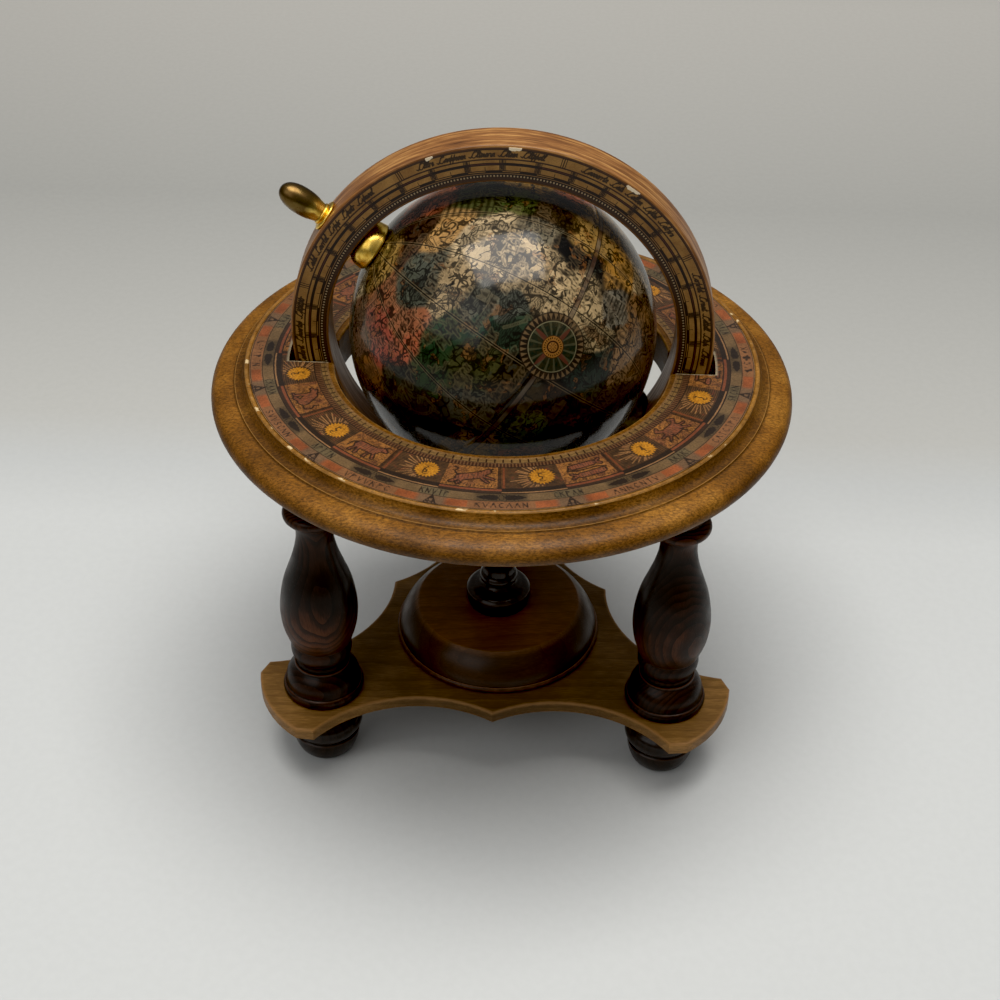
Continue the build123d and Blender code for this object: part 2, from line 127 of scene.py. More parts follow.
class Shader:
    """A Principled material with short names for the nodes that feed it."""

    def __init__(self, name, **finish):
        self.material = bpy.data.materials.new(name)
        self.material.use_nodes = True
        self.tree = self.material.node_tree
        self.tree.nodes.clear()
        self.surface = self.tree.nodes.new("ShaderNodeBsdfPrincipled")
        output = self.tree.nodes.new("ShaderNodeOutputMaterial")
        self.tree.links.new(self.surface.outputs[0], output.inputs[0])
        self.colour = None  # the material's own colour, painted over step by step
        for socket, value in finish.items():
            self.surface.inputs[socket.replace("_", " ")].default_value = value

    def feed(self, socket, value):
        if isinstance(value, Value):
            self.tree.links.new(value.socket, socket)
        elif socket.type == "VECTOR":
            socket.default_value = value[:3]
        elif socket.type == "RGBA" and len(value) == 3:
            socket.default_value = rgb(*value)
        else:
            socket.default_value = value

    def node(self, kind, inputs=None, output=0, **settings):
        node = self.tree.nodes.new("ShaderNode" + kind)
        for setting, value in settings.items():
            setattr(node, setting, value)
        for socket, value in (inputs or {}).items():
            self.feed(node.inputs[socket], value)
        return Value(self, node.outputs[output])

    def math(self, operation, *values):
        return self.node("Math", dict(enumerate(values)), operation=operation)

    def place(self):
        """Position on the piece at rest, in millimetres of the shared frame."""
        metres = self.node("TexCoord", output="Object")
        return self.node("VectorMath", {0: metres, "Scale": 1 / MM}, operation="SCALE")

    def vector(self, x, y, z):
        return self.node("CombineXYZ", {0: x, 1: y, 2: z})

    def stretch(self, vector, factors):
        return self.node("VectorMath", {0: vector, 1: tuple(factors)}, operation="MULTIPLY")

    def shift(self, vector, offset):
        return self.node("VectorMath", {0: vector, 1: tuple(offset)}, operation="ADD")

    def dot(self, vector, direction):
        return self.node("VectorMath", {0: vector, 1: tuple(direction)}, "Value", operation="DOT_PRODUCT")

    def length(self, vector):
        return self.node("VectorMath", {0: vector}, "Value", operation="LENGTH")

    def away(self, x, y):
        return self.math("SQRT", x * x + y * y)

    def bearing(self, x, y):
        """Direction of a point in degrees from the x axis."""
        return self.math("ARCTAN2", y, x) * (180 / math.pi)

    def most(self, first, *others):
        for other in others:
            first = self.math("MAXIMUM", first, other)
        return first

    def noise(self, vector, size, detail=2.0, roughness=0.5, distortion=0.0):
        """Noise whose lumps are about size millimetres apart."""
        inputs = {"Vector": vector, "Scale": 1 / size, "Detail": detail}
        inputs.update({"Roughness": roughness, "Distortion": distortion})
        return self.node("TexNoise", inputs)

    def jitter(self, vector, size, reach, *more):
        """Noise about zero; more goes to noise."""
        return (self.noise(vector, size, *more) - 0.5) * reach

    def cells(self, vector, size):
        return self.node("TexVoronoi", {"Vector": vector, "Scale": 1 / size}, "Distance")

    def attribute(self, name, output="Fac"):
        return self.node("Attribute", None, output, attribute_name=name)

    def rise(self, value, low, high, start=0.0, end=1.0):
        """Goes smoothly from start to end while value goes from low to high."""
        inputs = {"Value": value, "From Min": low, "From Max": high, "To Min": start, "To Max": end}
        return self.node("MapRange", inputs, interpolation_type="SMOOTHSTEP")

    def between(self, value, low, high, soft=0.08):
        """1 where value is from low to high, 0 elsewhere."""
        middle, half = (low + high) / 2, (high - low) / 2
        return self.rise(abs(value - middle), half + soft / 2, half - soft / 2)

    def inside(self, distance, soft=0.12):
        """1 where a distance is negative, 0 where it is positive."""
        return self.rise(distance, soft, -soft)

    def mark(self, ink, soft=0.12):
        """1 on the marks drawn in one ink, 0 elsewhere."""
        return self.inside(self.attribute(ink), soft)

    def wrap(self, value, period):
        """Value modulo period, from 0 to period."""
        return self.math("FLOORED_MODULO", value, period)

    def ramp(self, value, *stops):
        """Colour that goes through stops, each a position and a display colour."""
        made = self.node("ValToRGB", {"Fac": value}, "Color")
        elements = made.socket.node.color_ramp.elements
        for element, (position, colour) in zip(elements, (stops[0], stops[-1])):
            element.position, element.color = position, rgb(*colour)
        for position, colour in stops[1:-1]:
            elements.new(position).color = rgb(*colour)
        return made

    def paint(self, under, share, over):
        """The colour under, covered by the colour over as much as share says."""
        return self.node("Mix", {"Factor": share, 6: under, 7: over}, 2, data_type="RGBA")

    def coat(self, share, over):
        """Paints over the material's own colour."""
        self.colour = self.paint(self.colour, share, over)

    def shade(self, amount, colour=None):
        """A colour, the material's own unless given, made lighter or darker by a number."""
        made = self.node("VectorMath", {0: colour or self.colour, "Scale": amount}, operation="SCALE")
        if colour is None:
            self.colour = made
        return made

    def bump(self, height, depth):
        """Surface relief, depth millimetres for a height of 1."""
        return self.node("Bump", {"Height": height, "Distance": depth * MM, "Strength": 1.0}, "Normal")

    def finish(self, roughness, relief=None):
        self.feed(self.surface.inputs["Base Color"], self.colour)
        self.feed(self.surface.inputs["Roughness"], roughness)
        if relief is not None:
            self.feed(self.surface.inputs["Normal"], relief)
        return self.material


# ---------------------------------------------------------------- meshes


def arc(start, middle, end, steps=8):
    """Points of the circular arc through three points."""
    (ax, ay), (bx, by), (cx, cy) = start, middle, end
    d = 2 * (ax * (by - cy) + bx * (cy - ay) + cx * (ay - by))
    ux = ((ax**2 + ay**2) * (by - cy) + (bx**2 + by**2) * (cy - ay) + (cx**2 + cy**2) * (ay - by)) / d
    uy = ((ax**2 + ay**2) * (cx - bx) + (bx**2 + by**2) * (ax - cx) + (cx**2 + cy**2) * (bx - ax)) / d
    first, half, last = (math.atan2(y - uy, x - ux) for x, y in (start, middle, end))
    turn = (last - first) % math.tau
    if (half - first) % math.tau > turn:
        turn -= math.tau
    angles = first + turn * np.linspace(0, 1, steps + 1)
    radius = math.hypot(ax - ux, ay - uy)
    return np.stack([ux + radius * np.cos(angles), uy + radius * np.sin(angles)], 1)


def curve(*points, steps=7):
    """Points of a smooth run through the given points."""
    knots = np.array(points, float)
    gaps = np.linalg.norm(np.diff(knots, axis=0), axis=1)
    slopes = np.gradient(knots, np.concatenate([[0], np.cumsum(gaps)]), axis=0)
    t = np.linspace(0, 1, steps, endpoint=False)[:, None]
    runs = []
    for k, gap in enumerate(gaps):
        runs.append(
            (2 * t**3 - 3 * t**2 + 1) * knots[k]
            + (t**3 - 2 * t**2 + t) * gap * slopes[k]
            + (3 * t**2 - 2 * t**3) * knots[k + 1]
            + (t**3 - t**2) * gap * slopes[k + 1]
        )
    return np.concatenate([*runs, knots[-1:]])


def chain(*runs):
    """One outline from runs of points, with no point twice in a row."""
    points = np.concatenate([np.atleast_2d(np.array(run, float)) for run in runs])
    keep = np.append(True, np.linalg.norm(np.diff(points, axis=0), axis=1) > 1e-4)
    return points[keep]


def crests(outline, closed):
    """How sharply an outline turns at each point: towards 1 on outward edges, -1 in grooves."""
    ahead = np.roll(outline, -1, axis=0) - outline
    behind = outline - np.roll(outline, 1, axis=0)
    turn = np.arctan2(
        behind[:, 0] * ahead[:, 1] - behind[:, 1] * ahead[:, 0],
        (behind * ahead).sum(1),
    )
    reach = (np.hypot(*ahead.T) + np.hypot(*behind.T)) / 2
    sharpness = np.clip(turn / (reach + 0.4), -1, 1)
    if not closed:
        sharpness[[0, -1]] = 0
    return sharpness


def add_mesh(name, points, faces, material, attributes=None, sharp_deg=35):
    """Smooth-shaded mesh object from points in millimetres."""
    mesh = bpy.data.meshes.new(name)
    mesh.from_pydata((np.asarray(points) * MM).tolist(), [], faces)
    for key, values in (attributes or {}).items():
        values = np.asarray(values, np.float32)
        kind = "FLOAT_COLOR" if values.ndim == 2 else "FLOAT"
        layer = mesh.attributes.new(key, kind, "POINT")
        layer.data.foreach_set("color" if values.ndim == 2 else "value", values.ravel())
    work = bmesh.new()
    work.from_mesh(mesh)
    bmesh.ops.remove_doubles(work, verts=work.verts, dist=1e-7)
    bmesh.ops.recalc_face_normals(work, faces=work.faces)
    work.to_mesh(mesh)
    work.free()
    mesh.shade_smooth()
    mesh.set_sharp_from_angle(angle=math.radians(sharp_deg))
    mesh.materials.append(material)
    piece = bpy.data.objects.new(name, mesh)
    bpy.context.scene.collection.objects.link(piece)
    return piece


def grid_faces(rows, columns, closed=True):
    """Quads of a grid of points, closed along each row and, unless told otherwise, over the rows."""
    row, column = np.meshgrid(
        np.arange(rows if closed else rows - 1), np.arange(columns), indexing="ij"
    )
    after, above = (column + 1) % columns, (row + 1) % rows
    corners = (row * columns + column, row * columns + after, above * columns + after)
    return np.stack([*corners, above * columns + column], 2).reshape(-1, 4).tolist()


def moved(points, place):
    matrix = np.array(place)
    return points @ matrix[:3, :3].T + matrix[:3, 3]


def lathe(name, outline, material, place=None, segments=144, closed=False):
    """Turned piece: the outline of (radius, height) points goes round the local Z axis."""
    angles = np.linspace(0, math.tau, segments, endpoint=False)
    radius, height = outline[:, :1], outline[:, 1:]
    points = np.stack([radius * np.cos(angles), radius * np.sin(angles), height + 0 * angles], 2)
    points = points.reshape(-1, 3)
    faces = grid_faces(len(outline), segments, closed)
    crest = np.repeat(crests(outline, closed), segments)
    if place is not None:
        points = moved(points, place)
    return add_mesh(name, points, faces, material, {"crest": crest})


def cut(piece, *cutters):
    """Takes the cutters' shapes out of a piece."""
    for cutter in cutters:
        tool = piece.modifiers.new("cut", "BOOLEAN")
        tool.object = cutter
        tool.operation = "DIFFERENCE"
        tool.solver = "EXACT"
    bpy.context.view_layer.update()
    evaluated = piece.evaluated_get(bpy.context.evaluated_depsgraph_get())
    mesh = bpy.data.meshes.new_from_object(evaluated)
    piece.modifiers.clear()
    piece.data = mesh
    mesh.set_sharp_from_angle(angle=math.radians(35))
    for cutter in cutters:
        bpy.data.objects.remove(cutter)
    return piece


def box_cutter(low, high):
    corners = [[(low, high)[(k >> axis) & 1][axis] for axis in range(3)] for k in range(8)]
    faces = [(0, 2, 3, 1), (4, 5, 7, 6), (0, 1, 5, 4), (2, 6, 7, 3), (0, 4, 6, 2), (1, 3, 7, 5)]
    return add_mesh("cutter", corners, faces, None)


def settle(piece, body, slot, *nodes):
    """Ties a piece to its body and hides the CAD nodes that it stands for. slot is not used."""
    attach(piece, body)
    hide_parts(*nodes)
    return piece


# ---------------------------------------------------------------- wood and metal


def wood(name, tones, pith, ring_gap, turn=(1, 0, 0), rings=0.32, fibre=1.0, flecks=0.0, blotch=0.3,
         crest_tone=None, groove=0.6, coat=0.2, coat_roughness=0.2, roughness=0.42, seed=0.0,
         stains_and_painted_light=(), bare=None):
    """Lacquered wood. turn is the grain's direction; pith is a point of the trunk's middle line.

    stains_and_painted_light lists gradual changes of lightness, painted shade and painted highlights
    among them: "radius" from the stand's axis or "height" above the floor, where the change starts
    and ends, and the lightness before and after it. bare is a ring, from and to a radius, where
    spots of the finish are worn off down to a colour.
    """
    dark, middle, light = tones
    s = Shader(
        name, Coat_Weight=coat, Coat_Roughness=coat_roughness, Coat_IOR=1.4, Specular_IOR_Level=0.15
    )
    place = s.shift(s.place(), -np.array(pith, float))
    grain = Vector(turn).normalized()
    side = grain.orthogonal().normalized()
    other = grain.cross(side)
    along = s.dot(place, grain)
    across = s.dot(place, side)
    over = s.dot(place, other)
    lengthwise = s.vector(along * 0.12, across, over + seed)
    wobble = s.noise(lengthwise, 9.0) * 2.2 * ring_gap
    distance = s.away(across, over) + wobble
    ring = s.wrap(distance, ring_gap) / ring_gap
    latewood = ring ** 3.0
    fine = s.vector(along * 0.09, across, over + seed)
    fibres = s.noise(fine, 0.34, 3.0, 0.6)
    pores = s.rise(s.noise(fine, 0.22, 1.0), 0.66, 0.78)
    clouds = s.noise(s.shift(place, (seed, 0, 0)), 16.0, 3.0)
    tone = fibres * 0.5 * fibre + latewood * rings + clouds * blotch
    tone = tone + (0.5 - 0.25 * fibre - 0.25 * rings - 0.5 * blotch)
    s.colour = s.ramp(tone, (0.18, light), (0.5, middle), (0.86, dark))
    s.coat(pores * 0.5 * fibre, dark)
    if flecks:
        ticks = s.vector(along * 0.45, across, over * 1.2)
        marks = s.rise(s.cells(ticks, 0.9), 0.22, 0.1) * s.rise(s.noise(place, 4.0), 0.45, 0.6)
        s.coat(marks * flecks, s.shade(0.6, rgb(*dark)))
        grit = s.noise(s.vector(along * 0.4, across, over), 0.5, 4.0, 0.8)
        s.shade(s.rise(grit, 0.35, 0.65, 1.5, 0.5))
    measures = {
        "radius": s.length(s.stretch(s.place(), (1, 1, 0))),
        "height": s.dot(s.place(), (0, 0, 1)) + (clouds - 0.5) * 12.0,
    }
    # bands of lightness by radius or height, partly painted shade and painted highlights
    for measure, low, high, before, after in stains_and_painted_light:
        s.shade(s.rise(measures[measure], low, high, before, after))
    crest = s.attribute("crest")
    if crest_tone:
        worn = s.rise(crest + s.jitter(place, 2.5, 0.5), 0.25, 0.8)
        s.coat(worn * 0.55, crest_tone)
    s.shade(s.rise(crest, -0.5, 0.0, 1.0 - groove, 1.0))
    if bare:
        low, high, tone = bare
        gone = s.rise(s.noise(place, 5.0, 3.0), 0.6, 0.64)
        s.coat(s.between(measures["radius"], low, high, 0.3) * gone * 0.85, tone)
    rough = s.rise(s.noise(place, 6.0, 3.0), 0.3, 0.7, roughness - 0.08, roughness + 0.1)
    return s.finish(rough, s.bump(fibres * 0.6 + pores * -0.8 + latewood * 0.3, 0.035))


def brass(name, tarnish=0.35, roughness=0.2, lightness=1.0):
    """Turned brass with fine tool marks and brown tarnish in its grooves."""
    s = Shader(name, Metallic=1.0)
    place = s.place()
    axial = s.dot(place, POLE)
    marks = s.noise(s.vector(axial * 9.0, 0.0, 0.0), 1.0, 3.0, 0.7)
    stains_and_painted_light = s.noise(place, 2.4, 4.0, 0.65)
    specks = s.rise(s.noise(place, 0.5), 0.6, 0.75)
    crest = s.attribute("crest")
    height = s.dot(s.shift(place, -CENTRE), POLE) + stains_and_painted_light * 4.0
    far_end = s.rise(height, MERIDIAN_R + 4, MERIDIAN_R + 9)  # the finial's tip has gone brown
    dull = s.rise(stains_and_painted_light, 0.42, 0.75) * tarnish + s.rise(crest, 0.0, -0.6) * 0.6
    s.colour = s.ramp(stains_and_painted_light, (0.3, (250, 214, 110)), (0.7, (222, 172, 66)))
    s.coat(dull, (112, 80, 34))
    s.coat(far_end * 0.9, (66, 50, 38))
    s.coat(specks * 0.25, (96, 66, 30))
    s.shade(lightness)
    rough = s.rise(stains_and_painted_light + marks * 0.3, 0.3, 0.9, roughness - 0.05, roughness + 0.16)
    return s.finish(rough, s.bump(marks + specks * 0.4, 0.006))


def steel(name):
    """Drawn steel wire or a plated screw: fine lengthwise scratches and dull spots."""
    s = Shader(name, Metallic=1.0)
    place = s.place()
    scratches = s.noise(s.stretch(place, (1.0, 6.0, 1.0)), 0.5, 3.0, 0.7)
    spots = s.noise(place, 1.6, 3.0)
    s.colour = s.ramp(spots, (0.3, (186, 182, 172)), (0.7, (128, 122, 112)))
    rough = s.rise(scratches, 0.3, 0.7, 0.22, 0.42)
    return s.finish(rough, s.bump(scratches, 0.008))


def board(name):
    """Grey pulp board, which the globe's shells are pressed from."""
    s = Shader(name, Specular_IOR_Level=0.3)
    place = s.place()
    pulp = s.noise(place, 0.7, 4.0, 0.7)
    clouds = s.noise(place, 7.0)
    s.colour = s.ramp(pulp * 0.6 + clouds * 0.4, (0.3, (166, 152, 128)), (0.7, (112, 98, 78)))
    return s.finish(s.rise(pulp, 0.3, 0.7, 0.75, 0.95), s.bump(pulp, 0.08))


RING_WOOD = wood(
    "ring_wood", ((54, 32, 8), (108, 69, 20), (150, 104, 40)), (0, 150, 190), 5.5,
    (1, 0.06, 0.03), rings=0.0, fibre=0.6, flecks=0.7, blotch=0.85, crest_tone=(170, 128, 70),
    groove=0.3, coat=0.1, coat_roughness=0.3, roughness=0.5,
    # painted shade in the cove and a painted highlight on the nose's top; the bore and the nose's outer
    # face are darker
    stains_and_painted_light=(
        ("radius", 52.0, 54.0, 0.72, 1.0), ("radius", 77.0, 78.0, 1.0, 0.6),
        ("radius", 79.4, 81.6, 1.0, 1.68), ("radius", 85.3, 87.3, 1.0, 0.66),
    ),
    bare=(75.9, 76.9, (206, 182, 138)),
)
PLATE_WOOD = wood(
    "plate_wood", ((48, 33, 15), (87, 62, 31), (132, 98, 54)), (0, 30, 120), 2.6,
    (1, 0.04, 0), rings=0.12, blotch=0.5, crest_tone=(150, 108, 62), coat=0.12, coat_roughness=0.3,
    # painted shade in the plate's middle under the ring, lighter towards the arm tips
    stains_and_painted_light=(("radius", 44, 76, 0.9, 1.9),),
)
PLINTH_WOOD = wood(
    "plinth_wood", ((42, 25, 9), (76, 47, 17), (110, 69, 32)), (20, -60, 90), 3.4,
    (1, 0.1, 0), rings=0.1, blotch=0.4, crest_tone=(132, 84, 50), groove=0.85, coat=0.2,
    # painted shade on the plinth's sloping side, darkened to a third
    coat_roughness=0.24, roughness=0.44, stains_and_painted_light=(("radius", 26.6, 28.4, 1.0, 0.34),),
)
BLACK_WOOD = wood(
    "black_wood", ((13, 9, 7), (25, 17, 12), (46, 30, 21)), (9, 40, 0), 2.0, (0, 0.05, 1),
    blotch=0.2, crest_tone=(70, 44, 30), groove=0.5, coat=0.4, coat_roughness=0.14,
    roughness=0.36,
)
BRASS = brass("brass")
# The low pole's brass: painted shade under the globe, fully tarnished and its colour cut to 0.09.
SHADED_BRASS = brass("shaded_brass", tarnish=1.0, roughness=0.45, lightness=0.09)  # at the low pole
STEEL = steel("steel")
BOARD = board("shell_board")


# ---------------------------------------------------------------- base


def make_plate():
    low, high = (corner[2] for corner in span("base_plate"))
    tip = 83.0  # farthest reach of an arm
    corner, corner_deg = 77.3, 13.56
    end, end_deg = 81.1, 10.55
    cusp, hollow_r = 42.3, 42.7

    def polar(radius, degrees):
        return radius * np.array([math.cos(math.radians(degrees)), math.sin(math.radians(degrees))])

    def hollow(start, stop):
        """Edge between an arm and a cusp, hollow towards the middle."""
        half = (stop - start) / 2
        across = np.array([half[1], -half[0]]) / np.linalg.norm(half)
        if across @ (start + stop) > 0:
            across = -across
        sag = hollow_r - math.sqrt(hollow_r**2 - half @ half)
        return arc(start, (start + stop) / 2 + across * sag, stop, 22)

    runs = []
    for degrees in (-150, -30, 90):
        runs += [
            [polar(corner, degrees - corner_deg)],
            arc(polar(end, degrees - end_deg), polar(tip, degrees), polar(end, degrees + end_deg), 10),
            hollow(polar(corner, degrees + corner_deg), polar(cusp, degrees + 60)),
            hollow(polar(cusp, degrees + 60), polar(corner, degrees + 120 - corner_deg)),
        ]
    outline = chain(*runs)[:-1]
    ahead = np.roll(outline, -1, axis=0) - outline
    behind = outline - np.roll(outline, 1, axis=0)
    ahead /= np.linalg.norm(ahead, axis=1)[:, None]
    behind /= np.linalg.norm(behind, axis=1)[:, None]
    inward = np.stack([-(ahead + behind)[:, 1], (ahead + behind)[:, 0]], 1)
    inward /= np.maximum((inward * inward).sum(1) / 2, 0.5)[:, None]
    levels = [
        (2.6, low, 0.0), (0.35, low, 0.9), (0.0, low + 0.35, 0.5), (0.0, low + 1.6, 0.0),
        (0.0, high - 1.8, 0.0), (0.0, high - 0.55, 0.6), (0.16, high - 0.16, 1.0),
        (0.55, high, 0.6), (1.4, high, 0.0), (2.6, high, 0.0),
    ]
    points, crest = [], []
    for inset, z, sharp in levels:
        loop = outline + inward * inset
        points.append(np.column_stack([loop, np.full(len(loop), z)]))
        crest.append(np.full(len(loop), sharp))
    count = len(outline)
    faces = grid_faces(len(levels), count, closed=False)
    faces.append(tuple(range(count))[::-1])
    faces.append(tuple((len(levels) - 1) * count + k for k in range(count)))
    plate = add_mesh(
        "plate", np.concatenate(points), faces, PLATE_WOOD, {"crest": np.concatenate(crest)}, 28
    )
    screw_r = span("post_screw")[1][0]
    pocket = chain([(0, low - 1), (screw_r + 0.1, low - 1), (screw_r + 0.1, low + 0.3)],
                   [(2.0, low + 2.8), (0, low + 2.8)])
    cut(plate, lathe("cutter", pocket, None, segments=48))
    settle(plate, "stand", "plate_wood", "base_plate")


def make_plinth():
    low, high = span("plinth")
    top, radius = high[2] - low[2], high[0]
    outline = chain(
        [(0, 0), (radius - 1.0, 0)],
        arc((radius - 1.0, 0), (radius - 0.35, 0.25), (radius - 0.1, 0.75), 4),
        arc((radius - 0.1, 0.75), (radius, 1.2), (radius - 0.7, 2.2), 6),
        curve((radius - 0.75, 2.2), (radius - 1.25, 4.2), (radius - 2.6, 7.0),
              (radius - 4.6, 9.7), (26.9, top - 0.35)),
        arc((26.9, top - 0.35), (26.55, top - 0.1), (26.1, top), 4),
        [(24.0, top), (14.0, top), (0, top)],
    )
    plinth = lathe("plinth_turned", outline, PLINTH_WOOD, Matrix.Translation((0, 0, low[2])), 220)
    settle(plinth, "stand", "plinth_wood", "plinth")


def leg_outline(top):
    """Baluster from z 0 up: base disc, bell, neck, bead, vase belly, collar and capital."""
    return chain(
        [(0, 0), (12.2, 0)],
        arc((12.2, 0), (12.9, 1.7), (12.4, 3.3), 8),
        [(12.15, 3.5), (11.95, 3.55), (11.85, 3.8)],
        curve((11.85, 3.8), (11.6, 6.4), (10.6, 8.7), (9.3, 10.4), (8.9, 10.9)),
        [(8.85, 11.2), (8.8, 11.7), (8.1, 11.95), (7.9, 12.3)],
        curve((7.9, 12.3), (7.95, 13.4), (9.0, 15.0), (9.6, 16.8), (9.6, 18.6),
              (9.15, 20.1)),
        [(9.15, 20.35), (9.5, 20.6)],
        curve((9.5, 20.6), (10.5, 23.4), (11.5, 27.0), (12.05, 31.0), (12.15, 34.4),
              (11.7, 39.0), (10.5, 45.0), (8.9, 49.8), (7.6, 53.6), (6.4, 58.0),
              (5.75, 62.0), (5.85, 65.4), (6.6, 68.1)),
        [(6.8, 68.35), (8.5, 69.3)],
        arc((8.5, 69.3), (9.4, 71.0), (8.5, 72.7), 8),
        [(6.9, 73.2)],
        curve((6.8, 73.3), (6.3, 77.4), (6.9, 80.8), (8.0, 83.6), (9.4, 86.2),
              (10.3, 87.6)),
        [(10.35, 88.8), (11.1, 89.3)],
        arc((11.1, 89.3), (11.9, 92.4), (11.2, top), 8),
        [(0, top)],
    )


def leg_wood(leg, spot, seed):
    """Dark walnut; the trunk's middle lies beside the leg and leans, so rings show as waves."""
    away = 1.3 + 0.25 * seed  # direction in which the trunk's middle lies
    pith = (spot[0] + 13.0 * math.cos(away), spot[1] + 13.0 * math.sin(away), 60.0)
    return wood(
        "leg_wood_" + leg, ((10, 4, 2), (32, 15, 6), (80, 44, 24)), pith, 1.15,
        (0.16 * math.cos(seed * 2), 0.2 * math.sin(seed), 1), rings=0.34, fibre=0.6, blotch=0.7,
        crest_tone=(96, 60, 40), groove=0.75, coat=0.18, coat_roughness=0.22, roughness=0.44,
        seed=seed * 7,
        # painted light and shade by height: darker at the leg's foot and upper belly, lighter on the lower
        # belly, and a painted reflection on the neck
        stains_and_painted_light=(("height", 44, 52, 0.5, 1.5), ("height", 60, 72, 1.0, 0.3), ("height", 84, 96, 1.0, 2.6)),
    )


def foot_outline(top):
    return chain(
        [(0, 0), (6.7, 0), (7.1, 0.08)],
        curve((7.1, 0.08), (8.7, 1.3), (10.0, 3.8), (10.7, 6.4), (10.9, 8.4)),
        [(10.75, 8.6), (10.35, 8.85), (10.3, 9.3)],
        arc((10.3, 9.4), (12.0, 12.8), (10.5, 16.3), 14),
        curve((10.4, 16.5), (9.0, 17.7), (8.5, 19.4), (8.4, top)),
        [(0, top)],
    )


def make_legs():
    foot_top, plate_top = (corner[2] for corner in span("base_plate"))
    for seed, (leg, (x, y, _)) in enumerate(zip(LEGS, LEG_SPOTS), 1):
        material = leg_wood(leg, (x, y), seed * 1.7)
        pieces = (
            ("leg", leg_outline(HORIZON_BOTTOM - plate_top), plate_top, 160, material, "leg_wood"),
            ("foot", foot_outline(foot_top), 0, 128, BLACK_WOOD, "black_wood"),
        )
        for kind, outline, z, segments, material, slot in pieces:
            place = Matrix.Translation((x, y, z))
            turned = lathe(f"{kind}_turned_{leg}", outline, material, place, segments)
            settle(turned, "stand", slot, f"{kind}_{leg}")


def make_post():
    foot = span("plinth")[1][2]
    top = span("centre_post")[1][2] - foot
    outline = chain(
        [(0, 0), (9.6, 0)],
        curve((9.7, 0.1), (10.4, 1.5), (10.7, 3.4), (10.5, 5.4)),
        curve((10.4, 5.7), (9.6, 6.5), (7.4, 7.5), (6.1, 8.3), (5.7, 8.9)),
        arc((5.7, 9.0), (6.3, 10.6), (5.7, 12.2), 8),
        curve((5.2, 12.6), (4.9, 15.0), (6.3, 19.4), (8.4, 23.6), (8.5, 27.0),
              (6.4, 31.4), (5.2, 34.0), (6.0, 36.2), (7.8, 37.5)),
        [(8.2, 37.7), (10.8, 38.35), (11.0, 38.7)],
        [(11.0, top - 1.6)],
        arc((11.0, top - 1.5), (10.55, top - 0.45), (9.5, top), 6),
        [(0, top)],
    )
    post = lathe("post_turned", outline, BLACK_WOOD, Matrix.Translation((0, 0, foot)), 128)
    seat = MERIDIAN_R + 0.1
    half = SHEET_HIGH[1] - SHEET_LOW[1] + MERIDIAN_HALF + 0.3
    slot_outline = chain([(0, -half), (seat, -half), (seat, half), (0, half)])
    cut(post, lathe("cutter", slot_outline, None, RING_PLACE, 220))
    settle(post, "stand", "black_wood", "centre_post")


# ---------------------------------------------------------------- rings


def make_horizon_ring():
    low, top = HORIZON_BOTTOM, HORIZON_TOP
    bore = 50.4
    nose_z, nose_top = low + 4.0, low + 8.2
    bead_in, bead, bead_out = 75.8, 76.45, 77.1
    outline = chain(
        [(bore + 0.8, low), (52.0, low), (64.0, low), (82.4, low)],
        curve((83.0, low + 0.05), (84.6, low + 0.45), (86.3, low + 1.5), (87.2, low + 2.7),
              (87.5, nose_z), (87.05, nose_z + 1.55), (85.85, nose_z + 2.85), (84.0, nose_z + 3.7),
              (82.0, nose_top - 0.1), (80.9, nose_top), steps=5),
        [(80.55, nose_top + 0.05), (80.3, nose_top + 0.35)],
        curve((80.2, nose_top + 0.5), (79.4, nose_top + 0.62), (78.4, nose_top + 1.0),
              (77.6, nose_top + 1.8), (77.25, nose_top + 2.7), (77.15, nose_top + 3.2), steps=4),
        [(bead_out + 0.05, top - 0.45), (bead_out, top - 0.1)],
        arc((bead_out, top), (bead, top + 0.45), (bead_in, top + 0.02), 8),
        [(bead_in - 0.1, top - 0.04), (70.0, top), (58.0, top), (53.0, top), (bore + 0.8, top)],
        arc((bore + 0.8, top), (bore + 0.24, top - 0.24), (bore, top - 0.8), 4),
        [(bore, top - 4.0), (bore, low + 4.0), (bore, low + 0.8)],
        arc((bore, low + 0.8), (bore + 0.24, low + 0.24), (bore + 0.8, low), 4),
    )[:-1]
    ring = lathe("ring_turned", outline, RING_WOOD, segments=360, closed=True)
    half = PAPER_NOTCH_HALF
    reach = NOTCH_R
    cutters = []
    for side in (-1, 1):
        near, far = sorted((side * (bore - 5), side * reach))
        cutters.append(box_cutter((near, -half, low - 2), (far, half, top + 2)))
    cut(ring, *cutters)
    settle(ring, "stand", "ring_wood", "horizon_ring")


VARNISHED = {"Coat_Weight": 0.2, "Coat_Roughness": 0.25, "Specular_IOR_Level": 0.25}


